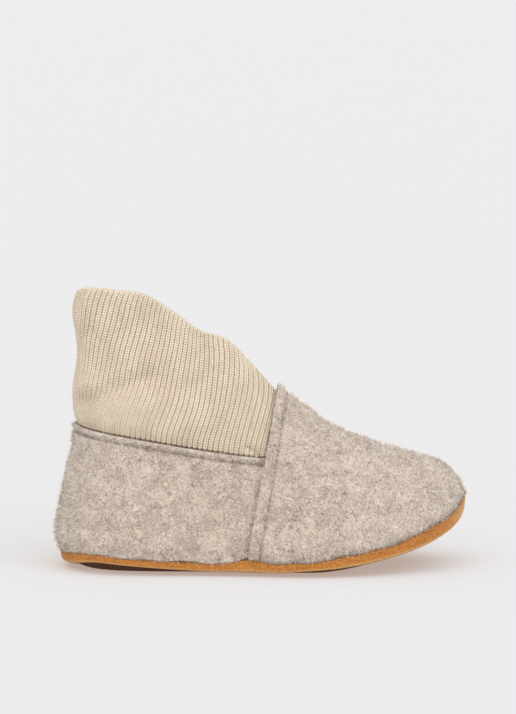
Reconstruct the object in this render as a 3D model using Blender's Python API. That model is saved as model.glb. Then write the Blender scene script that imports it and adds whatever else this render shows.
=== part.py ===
# Baby slipper, built as it is sewn: a felt upper of vamp and quarter, a rib-knit cuff,
# a suede outsole with a rolled edge and a felt insole.
# Sizes are in millimetres: x from the heel to the toe, y to the wearer's left, z up from the floor.

from collections import namedtuple
from math import asin, copysign, cos, exp, hypot, pi, sin

import bmesh
import bpy
import numpy as np

MM = 0.001

# Driving sizes of the last
SOLE_LENGTH = 125.8
BALL_WIDTH = 54.8
INSTEP_HEIGHT = 56.4
HEEL_HEIGHT = 44.5
CORNER_HEIGHT = 35.8
CUFF_HEIGHT = 86.5
TOE_RISE = 13.4
TOE_SWING = 3.0

# Walls and clearances
FELT = 2.4
FELT_EDGE = 1.3
FELT_TAPER = 6.0
KNIT = 2.6
SUEDE = 2.0
INSOLE = 2.0
GAP = 0.3

# The last, one row for each section from the heel round the side to the toe. Shares of the sole's
# length: along (foot of the section on the sole seam), hub (where it crosses the middle plane) and
# lean (forward tilt at the ridge). Shares of half the ball width: breadth. Share of the instep
# height: ridge. Millimetres: seam (height of the sole seam), lift (of the sole's edge off its
# floor line), roll (width of the sole's rolled edge), belly (swell of the felt over the seam).
# Fullness is the exponent of the section's superellipse.
Section = namedtuple("Section", "name along breadth seam lift roll hub lean ridge fullness belly")
LAST = (
    Section("heel", -0.003, 0.000, 4.7, 2.9, 3.4, 0.240, 0.000, 1.310, 2.20, 2.0),
    Section("heel corner", 0.019, 0.400, 5.2, 2.9, 3.4, 0.240, 0.000, 1.310, 2.20, 2.0),
    Section("heel shoulder", 0.080, 0.710, 5.4, 2.7, 3.4, 0.240, 0.010, 1.310, 2.20, 1.9),
    Section("heel side", 0.175, 0.830, 4.6, 2.0, 3.3, 0.260, 0.020, 1.280, 2.20, 1.8),
    Section("waist", 0.333, 0.850, 3.5, 1.0, 3.2, 0.340, 0.050, 1.200, 2.15, 1.6),
    Section("throat", 0.463, 0.905, 3.6, 0.7, 3.2, 0.463, 0.072, 1.000, 2.10, 1.6),
    Section("instep", 0.540, 0.955, 3.8, 0.7, 3.2, 0.540, 0.055, 0.893, 2.10, 1.6),
    Section("ball", 0.640, 1.000, 4.6, 1.2, 3.2, 0.640, 0.030, 0.796, 2.10, 1.5),
    Section("forefoot", 0.795, 0.930, 8.3, 1.0, 3.6, 0.785, 0.000, 0.690, 2.10, 1.4),
    Section("toe shoulder", 0.906, 0.710, 13.6, 0.6, 4.4, 0.850, 0.000, 0.645, 2.10, 1.2),
    Section("toe corner", 0.970, 0.420, 19.0, 0.4, 5.6, 0.882, 0.000, 0.624, 2.05, 0.9),
    Section("toe", 1.000, 0.000, 22.5, 0.2, 7.0, 0.898, 0.000, 0.613, 2.00, 0.5),
)
THROAT_ROW = [row.name for row in LAST].index("throat")

# Where the last swings to the big toe, and where the sole leaves the floor, as shares of its length
SWING_START = 0.45
SPRING_START = 0.62
SPRING_END = 0.97
SPRING_POWER = 1.75

# Swell of the felt just above the seam: its place as a share of the section's height
SWELL_AT = 0.13

# How quickly the quarter's top edge falls from the heel to the vamp
EDGE_FALL_POWER = 1.4

# The sole seam peaks where the vamp laps the quarter
NOTCH_RISE = 1.4
NOTCH_WIDTH = 5.0

# The vamp's turned edge: how far the felt stands proud at a distance in front of the edge
Lap = namedtuple("Lap", "distance proud")
VAMP_EDGE = (
    Lap(0.0, 0.90),
    Lap(0.7, 1.35),
    Lap(2.2, 1.30),
    Lap(3.3, 0.55),
    Lap(4.5, 0.95),
    Lap(9.0, 0.50),
    Lap(18.0, 0.10),
    Lap(30.0, 0.00),
)
QUARTER_HEM = (Lap(0.0, 0.10), Lap(0.7, 0.35), Lap(1.7, -0.30), Lap(3.0, 0.10), Lap(5.0, 0.00))
LAP_STEP = 0.35
SEAM_THIN = 0.35
SEAM_THIN_SHARE = 0.08
EDGE_ROUND = 0.5

# Rounded edges: steps across the wall, as a share of it, and how far each stands out
Step = namedtuple("Step", "depth height")
FELT_EDGE_STEPS = (Step(0.5, 1.0),)
KNIT_RIM_STEPS = (Step(0.15, 0.7), Step(0.5, 1.0), Step(0.85, 0.7))

# The cuff's rim, one row for each place round it: share is along the quarter's top edge from the
# back to the vamp, x and half are the rim's place, height is a share of CUFF_HEIGHT
Rim = namedtuple("Rim", "share x half height")
CUFF_RIM = (
    Rim(0.00, 5.6, 0.0, 0.990),
    Rim(0.20, 8.5, 7.4, 0.994),
    Rim(0.37, 17.0, 11.4, 0.980),
    Rim(0.49, 26.0, 12.9, 0.960),
    Rim(0.60, 34.5, 13.5, 0.897),
    Rim(0.71, 43.5, 13.2, 0.827),
    Rim(0.82, 52.5, 11.4, 0.796),
    Rim(0.92, 60.3, 7.6, 0.712),
    Rim(0.97, 64.0, 4.4, 0.665),
    Rim(1.00, 66.8, 0.0, 0.632),
)

# Soft folds of the cuff, one row for each height: how far it stands out from a straight wall
Fold = namedtuple("Fold", "share back side")
CUFF_FOLDS = (
    Fold(0.00, 0.0, 0.0),
    Fold(0.04, 0.9, 0.8),
    Fold(0.10, 2.0, 1.7),
    Fold(0.24, 3.1, 2.5),
    Fold(0.40, 1.8, 2.2),
    Fold(0.55, 0.9, 1.7),
    Fold(0.70, 1.2, 1.3),
    Fold(0.85, 2.0, 1.0),
    Fold(0.95, 1.5, 0.6),
    Fold(1.00, 0.4, 0.1),
)
BACK_FOLD_REACH = 0.45

# The cuff's margin inside the felt, its clearance above the felt's edge, and the shares round it
# where it starts to follow the vamp's edge, keeps the vamp's slope, and clears that edge
CUFF_TUCK = 4.0
CUFF_CLEAR = 0.6
CUFF_RIM_ROUND = 1.1
FRONT_BLEND = 0.62
FRONT_STIFF = 0.93
FRONT_CLEAR = 0.90

# Mesh steps
QUARTER_STATIONS = 13
VAMP_STATIONS = 12
WALL_ROWS = 9
ROW_POWER = 1.6
CROWN_ROWS = 8
CUFF_COLUMNS = 20
COLUMN_POWER = 1.35
CUFF_ROWS = 14
TUCK_STEPS = 2
SOLE_FLAT_ROWS = 4
SOLE_ROLL_ROWS = 5
FLAT_SHARE = 0.62
SOLE_HUB_HEEL = 0.13
SOLE_HUB_TOE = 0.86
SOLE_FULLNESS = 1.8
INSOLE_ROWS = 4
INSOLE_REACH = 0.96
PROBE = 0.002
TINY = 1e-9


def smooth(value):
    """Smooth step from 0 to 1."""
    value = min(1.0, max(0.0, value))
    return value * value * (3.0 - 2.0 * value)


def curve(knots, values, at):
    """Smooth curve through a table's values, with slopes taken from the neighbouring rows."""
    row = int(np.clip(np.searchsorted(knots, at) - 1, 1, len(knots) - 3))
    span = knots[row + 1] - knots[row]
    step = (at - knots[row]) / span
    before = (values[row + 1] - values[row - 1]) / (knots[row + 1] - knots[row - 1]) * span
    after = (values[row + 2] - values[row]) / (knots[row + 2] - knots[row]) * span
    rise = step * step * (3 - 2 * step)
    start = step * (1 - step) ** 2
    end = step * step * (step - 1)
    return values[row] + (values[row + 1] - values[row]) * rise + before * start + after * end


def mirrored(values, sign):
    """A table column with one more value past each end, mirrored in the shoe's middle plane."""
    return np.array([sign * values[1], *values, sign * values[-2]])


# The last

def last_columns():
    """Knots of the last's rows, by distance along the sole seam, and its columns with mirrored ends."""
    along = [row.along * SOLE_LENGTH for row in LAST]
    half = [row.breadth * BALL_WIDTH / 2 for row in LAST]
    steps = np.hypot(np.diff(along), np.diff(half))
    knots = np.concatenate([[0.0], np.cumsum(steps)])
    length = knots[-1]
    knots = knots / length
    knots = np.array([-knots[1], *knots, 2 - knots[-2]])
    columns = {"along": mirrored(along, 1), "half": mirrored(half, -1)}
    for name in ("seam", "lift", "roll", "fullness", "belly"):
        columns[name] = mirrored([getattr(row, name) for row in LAST], 1)
    for name in ("hub", "lean"):
        columns[name] = mirrored([getattr(row, name) * SOLE_LENGTH for row in LAST], 1)
    columns["ridge"] = mirrored([row.ridge * INSTEP_HEIGHT for row in LAST], 1)
    return knots, columns, length


KNOTS, COLUMNS, SIDE_LENGTH = last_columns()
THROAT = KNOTS[THROAT_ROW + 1]


def column(name, place):
    """A column of the last at a place from the heel (0) to the toe (1)."""
    return float(curve(KNOTS, COLUMNS[name], place))


def seam_height(place):
    """Height of the sole seam, with its small peak under the vamp's edge."""
    distance = (place - THROAT) * SIDE_LENGTH / NOTCH_WIDTH
    return column("seam", place) + NOTCH_RISE * exp(-distance * distance)


def outward(place):
    """Direction out of the sole's outline in plan, on the side where y is positive."""
    ahead = column("along", place + PROBE) - column("along", place - PROBE)
    aside = column("half", place + PROBE) - column("half", place - PROBE)
    size = hypot(ahead, aside)
    return -aside / size, ahead / size


def swing(x):
    """How far the last's middle line has swung to the big toe."""
    share = max(0.0, x / SOLE_LENGTH - SWING_START) / (1 - SWING_START)
    return TOE_SWING * share * share


def side_of(place):
    """Splits a place that runs from -1 to 1 round the shoe into its side and its station."""
    place = (place + 1.0) % 2.0 - 1.0
    return copysign(1.0, place), abs(place)


def last_point(place, share):
    """Point of the last: place runs round the shoe, share up its wall from the sole seam to the ridge."""
    if share > 1.0:
        place, share = -place, 2.0 - share
    side, station = side_of(place)
    turn = max(0.0, share) * pi / 2
    power = 2.0 / column("fullness", station)
    inward = max(0.0, cos(turn)) ** power
    rise = sin(turn) ** power
    swell = column("belly", station) * rise / SWELL_AT * exp(1.0 - rise / SWELL_AT)
    out_x, out_y = outward(station)
    hub = column("hub", station)
    seam = seam_height(station)
    x = hub + (column("along", station) - hub) * inward + column("lean", station) * rise + swell * out_x
    y = side * (column("half", station) * inward + swell * out_y)
    z = seam + (column("ridge", station) - seam) * rise
    return np.array([x, y + swing(x), z])


def unit(vector):
    return vector / np.linalg.norm(vector)


def skin_normal(surface, first, second):
    """Normal of a surface of two parameters, pointing in; its length is 0 where the surface closes up."""
    across = surface(first + PROBE, second) - surface(first - PROBE, second)
    up = surface(first, second + PROBE) - surface(first, second - PROBE)
    return np.cross(across, up)


def skin_point(surface, first, second, depth):
    """Point at a depth off a surface of two parameters, out along its normal."""
    point = surface(first, second)
    if depth == 0.0:
        return point
    normal = skin_normal(surface, first, second)
    if np.linalg.norm(normal) < TINY:
        normal = skin_normal(surface, first, second + copysign(2 * PROBE, 0.5 - second))
    return point - unit(normal) * depth


def edge_height(station):
    """Height of the quarter's top edge, from the heel to the vamp."""
    fall = max(0.0, cos(pi / 2 * min(1.0, station / THROAT))) ** EDGE_FALL_POWER
    return CORNER_HEIGHT + (HEEL_HEIGHT - CORNER_HEIGHT) * fall


def edge_share(station):
    """Share of the last's wall where the quarter's top edge lies."""
    seam = seam_height(station)
    rise = (edge_height(station) - seam) / (column("ridge", station) - seam)
    return asin(rise ** (column("fullness", station) / 2)) * 2 / pi


def quarter_places():
    """Stations of the quarter, from the vamp's edge on one side round the heel to the other."""
    last = THROAT - LAP_STEP / SIDE_LENGTH
    return [-THROAT, *np.linspace(-last, last, 2 * QUARTER_STATIONS + 1), THROAT]


def vamp_places():
    """Stations of the vamp, from its edge on one side round the toe to the other, closer at its edge."""
    lap = [THROAT + row.distance / SIDE_LENGTH for row in VAMP_EDGE]
    front = [*lap[:-1], *np.linspace(lap[-1], 1.0, VAMP_STATIONS)]
    return front + [2.0 - place for place in reversed(front[:-1])]


def sole_places():
    """Stations round the whole sole, the same as those of the upper over it."""
    return quarter_places() + vamp_places()[1:]


def wall_share(distance, station):
    """Share of the last's wall that a distance takes up near the quarter's top edge."""
    share = edge_share(station)
    step = last_point(station, share + PROBE) - last_point(station, share - PROBE)
    return distance * 2 * PROBE / np.linalg.norm(step)


# Solids from skins

def weld(points):
    """Index of each point among the distinct ones, and which point each distinct one comes from."""
    keys = np.round(np.array(points), 3)
    _, first, index = np.unique(keys, axis=0, return_index=True, return_inverse=True)
    return index.reshape(-1), first


def grid_faces(columns, rows, start=0):
    """Quads of a grid of points, stored column after column."""
    corners = [start + c * rows + r for c in range(columns - 1) for r in range(rows - 1)]
    return [[corner, corner + rows, corner + rows + 1, corner + 1] for corner in corners]


def free_edges(faces):
    """Edges that only one face has, in that face's direction."""
    seen = {}
    for face in faces:
        for a, b in zip(face, face[1:] + face[:1]):
            seen[(a, b)] = (b, a) in seen or seen.get((a, b), False)
            if (b, a) in seen:
                seen[(b, a)] = True
    return [edge for edge, shared in seen.items() if not shared]


def wall_solid(name, outer, inner, faces, rounds, steps, material):
    """Closed solid between two skins, its free edges rounded off by rounds, in steps across the wall."""
    index, first = weld(outer)
    outer = np.array(outer)[first]
    inner = np.array(inner)[first]
    rounds = np.array(rounds)[first]
    faces = [list(dict.fromkeys(int(index[i]) for i in face)) for face in faces]
    faces = [face for face in faces if len(face) > 2]
    count = len(outer)
    points = [*outer, *inner]
    solid = faces + [[i + count for i in reversed(face)] for face in faces]

    away = np.zeros_like(outer)
    for face in faces:
        centre = outer[face].mean(axis=0)
        for i in face:
            away[i] += outer[i] - centre

    chains = {}
    for a, b in free_edges(faces):
        for i in (a, b):
            if i in chains:
                continue
            out = unit(away[i])
            chain = [i]
            for depth, height in steps:
                chain.append(len(points))
                points.append(outer[i] + (inner[i] - outer[i]) * depth + out * rounds[i] * height)
            chains[i] = chain + [i + count]
        for low in range(len(steps) + 1):
            solid.append([chains[b][low], chains[a][low], chains[a][low + 1], chains[b][low + 1]])
    return make_object(name, points, solid, material)


def make_object(name, points, faces, material):
    """Named object from points in millimetres, shaded smooth, with its faces turned outwards."""
    mesh = bpy.data.meshes.new(name)
    mesh.from_pydata([tuple(point * MM) for point in points], [], faces)
    shape = bmesh.new()
    shape.from_mesh(mesh)
    bmesh.ops.recalc_face_normals(shape, faces=shape.faces)
    bmesh.ops.triangulate(shape, faces=shape.faces)
    shape.to_mesh(mesh)
    shape.free()
    mesh.shade_smooth()
    mesh.set_sharp_from_angle(angle=pi / 4)
    mesh.materials.append(material)
    made = bpy.data.objects.new(name, mesh)
    bpy.context.scene.collection.objects.link(made)
    return made


def make_material(name, colour, roughness):
    material = bpy.data.materials.new(name)
    material.use_nodes = True
    shader = material.node_tree.nodes["Principled BSDF"]
    shader.inputs["Base Color"].default_value = (*colour, 1.0)
    shader.inputs["Roughness"].default_value = roughness
    shader.inputs["Metallic"].default_value = 0.0
    return material


# Felt upper

def proud(table, distance):
    """How far a lapped or hemmed edge stands out at a distance from it."""
    return float(np.interp(distance, [lap.distance for lap in table], [lap.proud for lap in table]))


def quarter_shares(station):
    """Rows of the quarter, as shares of the last's wall, closer together at its hem."""
    top = edge_share(station)
    hem = [top - wall_share(lap.distance, station) for lap in reversed(QUARTER_HEM)]
    return [*(hem[0] * np.linspace(0.0, 1.0, WALL_ROWS)[:-1] ** ROW_POWER), *hem]


def felt_raise(place, share):
    """How far the felt stands proud of the last: the vamp's turned edge, or the quarter's hem."""
    station = side_of(place)[1]
    if station >= THROAT - TINY:
        thinned = SEAM_THIN + (1.0 - SEAM_THIN) * smooth(share / SEAM_THIN_SHARE)
        return thinned * proud(VAMP_EDGE, (station - THROAT) * SIDE_LENGTH)
    below = (edge_share(station) - share) / wall_share(1.0, station)
    return proud(QUARTER_HEM, max(0.0, below))


def felt_wall(place, share):
    """Thickness of the felt under the last's skin, thinner where its edges are turned and sewn."""
    station = side_of(place)[1]
    from_edge = (station - THROAT) * SIDE_LENGTH
    if station < THROAT:
        from_edge = max(0.0, edge_share(station) - share) / wall_share(1.0, station)
    return FELT_EDGE + (FELT - FELT_EDGE) * smooth(from_edge / FELT_TAPER)


def build_upper(material):
    """The felt upper: quarter round the heel and vamp over the toe, lapped at the throat, in one wall."""
    quarter = quarter_places()
    vamp = vamp_places()
    low_rows = quarter_shares(THROAT)
    vamp_shares = [*low_rows, *np.linspace(low_rows[-1], 1.0, CROWN_ROWS + 1)[1:]]

    places = [(place, share) for place in quarter for share in quarter_shares(abs(place))]
    faces = grid_faces(len(quarter), len(low_rows))
    faces += grid_faces(len(vamp), len(vamp_shares), len(places))
    places += [(place, share) for place in vamp for share in vamp_shares]

    outer = [skin_point(last_point, place, share, felt_raise(place, share)) for place, share in places]
    inner = [skin_point(last_point, place, share, -felt_wall(place, share)) for place, share in places]
    lifted = [np.array([0.0, 0.0, GAP if share == 0.0 else 0.0]) for _, share in places]
    outer = [point + lift for point, lift in zip(outer, lifted)]
    inner = [point + lift for point, lift in zip(inner, lifted)]
    rounds = [0.0 if share < low_rows[-1] / 2 else EDGE_ROUND for _, share in places]
    return wall_solid("upper", outer, inner, faces, rounds, FELT_EDGE_STEPS, material)


# Rib-knit cuff

def rim_point(share):
    """Place on the cuff's rim, in the middle plane's frame."""
    knots = [row.share for row in CUFF_RIM]
    knots = np.array([-knots[1], *knots, 2 - knots[-2]])
    x = curve(knots, mirrored([row.x for row in CUFF_RIM], 1), share)
    half = curve(knots, mirrored([row.half for row in CUFF_RIM], -1), share)
    height = curve(knots, mirrored([row.height * CUFF_HEIGHT for row in CUFF_RIM], 1), share)
    return np.array([x, half, height])


def fold_out(share, height):
    """How far the cuff stands out of a straight wall, at a share round it and up it."""
    knots = [row.share for row in CUFF_FOLDS]
    back = np.interp(height, knots, [row.back for row in CUFF_FOLDS])
    side = np.interp(height, knots, [row.side for row in CUFF_FOLDS])
    return back + (side - back) * smooth(share / BACK_FOLD_REACH)


def under_felt(place, share):
    """Point just inside the felt, where the cuff's margin lies."""
    return skin_point(last_point, place, share, -(felt_wall(place, share) + GAP))


def sewn_place(around, up):
    """Place and share on the last where the cuff would lie if it were sewn down all the way up."""
    share = abs(around)
    station = THROAT * min(share, 1.0)
    top = edge_share(station) + wall_share(CUFF_CLEAR, station)
    station += max(0.0, share - 1.0) * CUFF_TUCK / SIDE_LENGTH
    station -= CUFF_CLEAR / SIDE_LENGTH * smooth((share - FRONT_CLEAR) / (1.0 - FRONT_CLEAR))
    if up <= 0.0:
        return copysign(station, around), top + wall_share(CUFF_TUCK, THROAT / 2) * up
    return copysign(station, around), top + (1.0 - top) * up


def front_arch(side, up):
    """How far the cuff's front, sewn under the vamp's edge, arches out of a straight line."""
    base, sewn, rim = (under_felt(*sewn_place(side, height)) for height in (0.0, up, 1.0))
    return sewn - base - (rim - base) * up


def cuff_point(around, up):
    """Point of the cuff: around from the back (0) to the vamp (1) on either side, up from the felt
    (0) to the rim (1). Past 1 around, or under 0 up, it is the margin sewn inside the felt."""
    side = copysign(1.0, around)
    share = abs(around)
    if up <= 0.0 or share >= 1.0:
        return under_felt(*sewn_place(around, up))
    base = under_felt(*sewn_place(around, 0.0))
    rim_x, rim_half, rim_z = rim_point(share)
    rim = np.array([rim_x, side * rim_half + swing(rim_x), rim_z])
    out_x, out_y = outward(THROAT * share)
    sewn = smooth((share - FRONT_BLEND) / (1.0 - FRONT_BLEND))
    fold = fold_out(share, up) * (1.0 - sewn) * np.array([out_x, side * out_y, 0.0])
    return base + (rim - base) * up + fold + sewn * front_arch(side, up)


def cuff_inside(around, up):
    """Point of the cuff's inner face, a knit wall in from its outer face."""
    share = abs(around)
    margin = around if up <= 0.0 else copysign(max(1.0, share), around)
    inward = unit(skin_normal(last_point, *sewn_place(margin, up)))
    if up > 0.0 and share < FRONT_STIFF:
        free = unit(skin_normal(cuff_point, around, up))
        inward = free + (inward - free) * smooth((share - FRONT_BLEND) / (FRONT_STIFF - FRONT_BLEND))
    return cuff_point(around, up) + unit(inward) * KNIT


def build_cuff(material):
    """The knit cuff: a doubled tube whose rim slopes from the back down to the throat."""
    main = list(1.0 - (1.0 - np.linspace(0.0, 1.0, CUFF_COLUMNS + 1)) ** COLUMN_POWER)
    tuck = list(1.0 + np.linspace(0.0, 1.0, TUCK_STEPS + 1)[1:])
    half = main + tuck
    arounds = [-around for around in reversed(half[1:])] + half
    ups = [*np.linspace(-1.0, 0.0, TUCK_STEPS + 1)[:-1], *np.linspace(0.0, 1.0, CUFF_ROWS + 1)]
    places = [(around, up) for around in arounds for up in ups]
    outer = [cuff_point(around, up) for around, up in places]
    inner = [cuff_inside(around, up) for around, up in places]
    rounds = [CUFF_RIM_ROUND if up > 0.5 else 0.0 for _, up in places]
    faces = grid_faces(len(arounds), len(ups))
    return wall_solid("cuff", outer, inner, faces, rounds, KNIT_RIM_STEPS, material)


# Suede outsole and felt insole

def floor_line(x):
    """Height of the sole's middle over the floor: flat from the heel to the ball, then the toe spring."""
    share = (x / SOLE_LENGTH - SPRING_START) / (SPRING_END - SPRING_START)
    return TOE_RISE * max(0.0, share) ** SPRING_POWER


def sole_point(place, share):
    """Point of the sole's underside: share 0 is its middle line, 1 where its edge rolls up, 2 the seam."""
    if share < 0.0:
        place, share = -place, -share
    side, station = side_of(place)
    along = column("along", station)
    roll = column("roll", station)
    out_x, out_y = outward(station)
    edge_x = along - out_x * roll
    edge_y = column("half", station) - out_y * roll
    lift = column("lift", station)
    edge_z = floor_line(edge_x) + lift
    if share <= 1.0:
        hub = SOLE_HUB_HEEL * SOLE_LENGTH + (SOLE_HUB_TOE - SOLE_HUB_HEEL) * along
        x = hub + (edge_x - hub) * share
        y = edge_y * share
        z = floor_line(x) + lift * smooth((share - FLAT_SHARE) / (1.0 - FLAT_SHARE))
    else:
        turn = min(1.0, share - 1.0) * pi / 2
        out = roll * sin(turn) ** (2 / SOLE_FULLNESS)
        rise = 1.0 - max(0.0, cos(turn)) ** (2 / SOLE_FULLNESS)
        x = edge_x + out_x * out
        y = edge_y + out_y * out
        z = edge_z + (seam_height(station) - edge_z) * rise
    return np.array([x, side * y + swing(x), z])


def build_outsole(material):
    """The suede outsole: flat under the foot, its edge rolled up to the sole seam."""
    flat = list(np.linspace(0.0, FLAT_SHARE, SOLE_FLAT_ROWS)) + [(1.0 + FLAT_SHARE) / 2]
    shares = flat + list(np.linspace(1.0, 2.0, SOLE_ROLL_ROWS + 1))
    places = [(place, share) for place in sole_places() for share in shares]
    outer = [sole_point(place, share) for place, share in places]
    inner = [skin_point(sole_point, place, share, -SUEDE) for place, share in places]
    faces = grid_faces(len(sole_places()), len(shares))
    rounds = [0.0] * len(places)
    return wall_solid("outsole", outer, inner, faces, rounds, (), material)


def build_insole(material):
    """The felt insole, lying on the outsole inside the upper."""
    shares = list(np.linspace(0.0, INSOLE_REACH, INSOLE_ROWS + 1))
    places = [(place, share) for place in sole_places() for share in shares]
    lower = [skin_point(sole_point, place, share, -(SUEDE + GAP)) for place, share in places]
    upper = [skin_point(sole_point, place, share, -(SUEDE + GAP + INSOLE)) for place, share in places]
    faces = grid_faces(len(sole_places()), len(shares))
    rounds = [0.0] * len(places)
    return wall_solid("insole", lower, upper, faces, rounds, (), material)


def centre_on_origin(pieces):
    """Parents the pieces to an empty that puts the slipper's middle over the origin."""
    corners = np.array([vertex.co for piece in pieces for vertex in piece.data.vertices])
    middle = (corners.min(axis=0) + corners.max(axis=0)) / 2
    slipper = bpy.data.objects.new("slipper", None)
    bpy.context.scene.collection.objects.link(slipper)
    slipper.location = (-middle[0], -middle[1], 0.0)
    for piece in pieces:
        piece.parent = slipper


def main():
    for old in list(bpy.data.objects):
        bpy.data.objects.remove(old)
    felt = make_material("oatmeal_felt", (0.60, 0.50, 0.41), 0.95)
    knit = make_material("ecru_knit", (0.69, 0.57, 0.44), 0.90)
    suede = make_material("tan_suede", (0.52, 0.21, 0.06), 0.85)
    lining = make_material("pale_felt", (0.66, 0.58, 0.49), 0.95)
    centre_on_origin([build_upper(felt), build_cuff(knit), build_outsole(suede), build_insole(lining)])


main()
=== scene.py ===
# Looks of a soft baby slipper, put together as it is sewn: suede outsole, felt insole, felt quarter and
# vamp with their topstitching and nap, and a rib-knit cuff. Sizes are in millimetres: x from the heel to
# the toe, y to the wearer's left, z up from the floor.

from collections import namedtuple
from math import cos, pi, radians, sin, sqrt, tau

import bmesh
import bpy
import numpy as np
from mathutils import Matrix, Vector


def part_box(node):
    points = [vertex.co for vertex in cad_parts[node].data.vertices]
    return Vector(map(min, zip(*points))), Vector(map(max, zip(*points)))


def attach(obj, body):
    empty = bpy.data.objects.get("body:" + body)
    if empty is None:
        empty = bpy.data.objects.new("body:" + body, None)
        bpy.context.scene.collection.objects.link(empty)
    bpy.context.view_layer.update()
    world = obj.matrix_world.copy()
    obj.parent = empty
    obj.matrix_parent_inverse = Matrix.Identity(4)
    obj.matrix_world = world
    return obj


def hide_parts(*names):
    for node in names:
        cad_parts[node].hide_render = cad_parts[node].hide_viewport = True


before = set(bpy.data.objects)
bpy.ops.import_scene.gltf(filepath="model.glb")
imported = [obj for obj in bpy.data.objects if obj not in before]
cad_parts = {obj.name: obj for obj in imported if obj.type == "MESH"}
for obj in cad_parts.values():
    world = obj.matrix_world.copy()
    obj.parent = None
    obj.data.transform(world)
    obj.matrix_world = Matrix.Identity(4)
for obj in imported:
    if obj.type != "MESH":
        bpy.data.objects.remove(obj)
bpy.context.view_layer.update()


# Suede outsole
# One piece of soft tan suede, flat under the foot, its edge rolled up and sewn to the felt all round.
# The nap is rubbed paler where the edge turns up off the floor, and painted lighter there for the floor's
# bounced light. Painted shade darkens the edge up at the seam and, near black, underneath.

MM = 0.001

# The last, one row for each section from the heel round the side to the toe. Shares of the sole's length:
# along, hub and lean. Share of half the ball width: breadth. Share of the instep height: ridge.
# Millimetres: seam, lift, roll and belly. Fullness is the exponent of the section's superellipse.
SOLE_LENGTH = 125.8
BALL_WIDTH = 54.8
INSTEP_HEIGHT = 56.4
Section = namedtuple("Section", "name along breadth seam lift roll hub lean ridge fullness belly")
LAST = (
    Section("heel", -0.003, 0.000, 5.0, 1.3, 3.4, 0.240, 0.000, 1.310, 2.20, 2.6),
    Section("heel corner", 0.019, 0.400, 5.8, 2.0, 3.4, 0.240, 0.000, 1.310, 2.20, 2.6),
    Section("heel shoulder", 0.080, 0.710, 6.5, 3.5, 3.4, 0.240, 0.010, 1.310, 2.20, 2.2),
    Section("heel side", 0.175, 0.830, 5.4, 2.8, 3.3, 0.260, 0.020, 1.280, 2.20, 1.8),
    Section("waist", 0.333, 0.850, 4.3, 1.5, 3.2, 0.340, 0.050, 1.200, 2.15, 1.6),
    Section("throat", 0.463, 0.905, 4.2, 1.3, 3.2, 0.463, 0.072, 1.000, 2.10, 1.6),
    Section("instep", 0.540, 0.955, 4.4, 1.3, 3.2, 0.540, 0.055, 0.893, 2.10, 1.6),
    Section("ball", 0.640, 1.000, 5.4, 2.1, 3.2, 0.640, 0.030, 0.796, 2.10, 1.5),
    Section("forefoot", 0.795, 0.930, 9.6, 1.3, 3.6, 0.785, 0.000, 0.690, 2.10, 1.4),
    Section("toe shoulder", 0.906, 0.710, 14.3, 0.1, 4.4, 0.850, 0.000, 0.645, 2.10, 0.8),
    Section("toe corner", 0.970, 0.420, 18.5, 0.3, 5.6, 0.882, 0.000, 0.624, 2.05, 0.5),
    Section("toe", 1.000, 0.000, 22.9, 0.8, 7.0, 0.898, 0.000, 0.613, 2.00, 0.3),
)
THROAT_ROW = [row.name for row in LAST].index("throat")
TOE_RISE = 13.4
TOE_SWING = 3.0
SWING_START = 0.45
SPRING_START = 0.62
SPRING_END = 0.97
SPRING_POWER = 1.75
NOTCH_RISE = 1.4
NOTCH_WIDTH = 5.0
SOLE_HUB_HEEL = 0.13
SOLE_HUB_TOE = 0.86
SOLE_FULLNESS = 2.8
FLAT_SHARE = 0.62
SUEDE = 2.0
SUEDE_EDGE_ROUND = 0.04
# share round the sole where the painted highlight of the toe tip starts
TOE_HIGHLIGHT_FROM = 0.86
PROBE = 0.002
TINY = 1e-9
MERGE = 1e-7
SOLE_STATIONS = 260
SOLE_FLAT_ROWS = 12
SOLE_ROLL_ROWS = 16
SOLE_EDGE_STEPS = 3

# The grain's masks: how the noise of each is broken up, and the values between which the mask rises
Grain = namedtuple("Grain", "mask size detail distortion low high")
GRAINS = (
    Grain("Patches", "Patch Size", 3.0, 0.4, 0.34, 0.66),
    Grain("Flecks", "Fleck Size", 2.0, 1.2, 0.54, 0.74),
    Grain("Fibres", "Fibre Size", 3.0, 1.6, 0.30, 0.70),
)
NAPPED_SPECULAR = 0.2
NAPPED_SHEEN_ROUGHNESS = 0.6

# Look of a napped cloth: sizes of its patches, flecks and fibres, gloss, depth of its grain, and the colours
# of its patches, dark and light. Coats of colour lie over these: each has its full share where its mark
# passes high and none before low. Without low and high, its share is multiplied by the mark.
Look = namedtuple("Look", "patch fleck fibre roughness sheen grain dark light coats")
Coat = namedtuple("Coat", "mark low high share colour")

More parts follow.
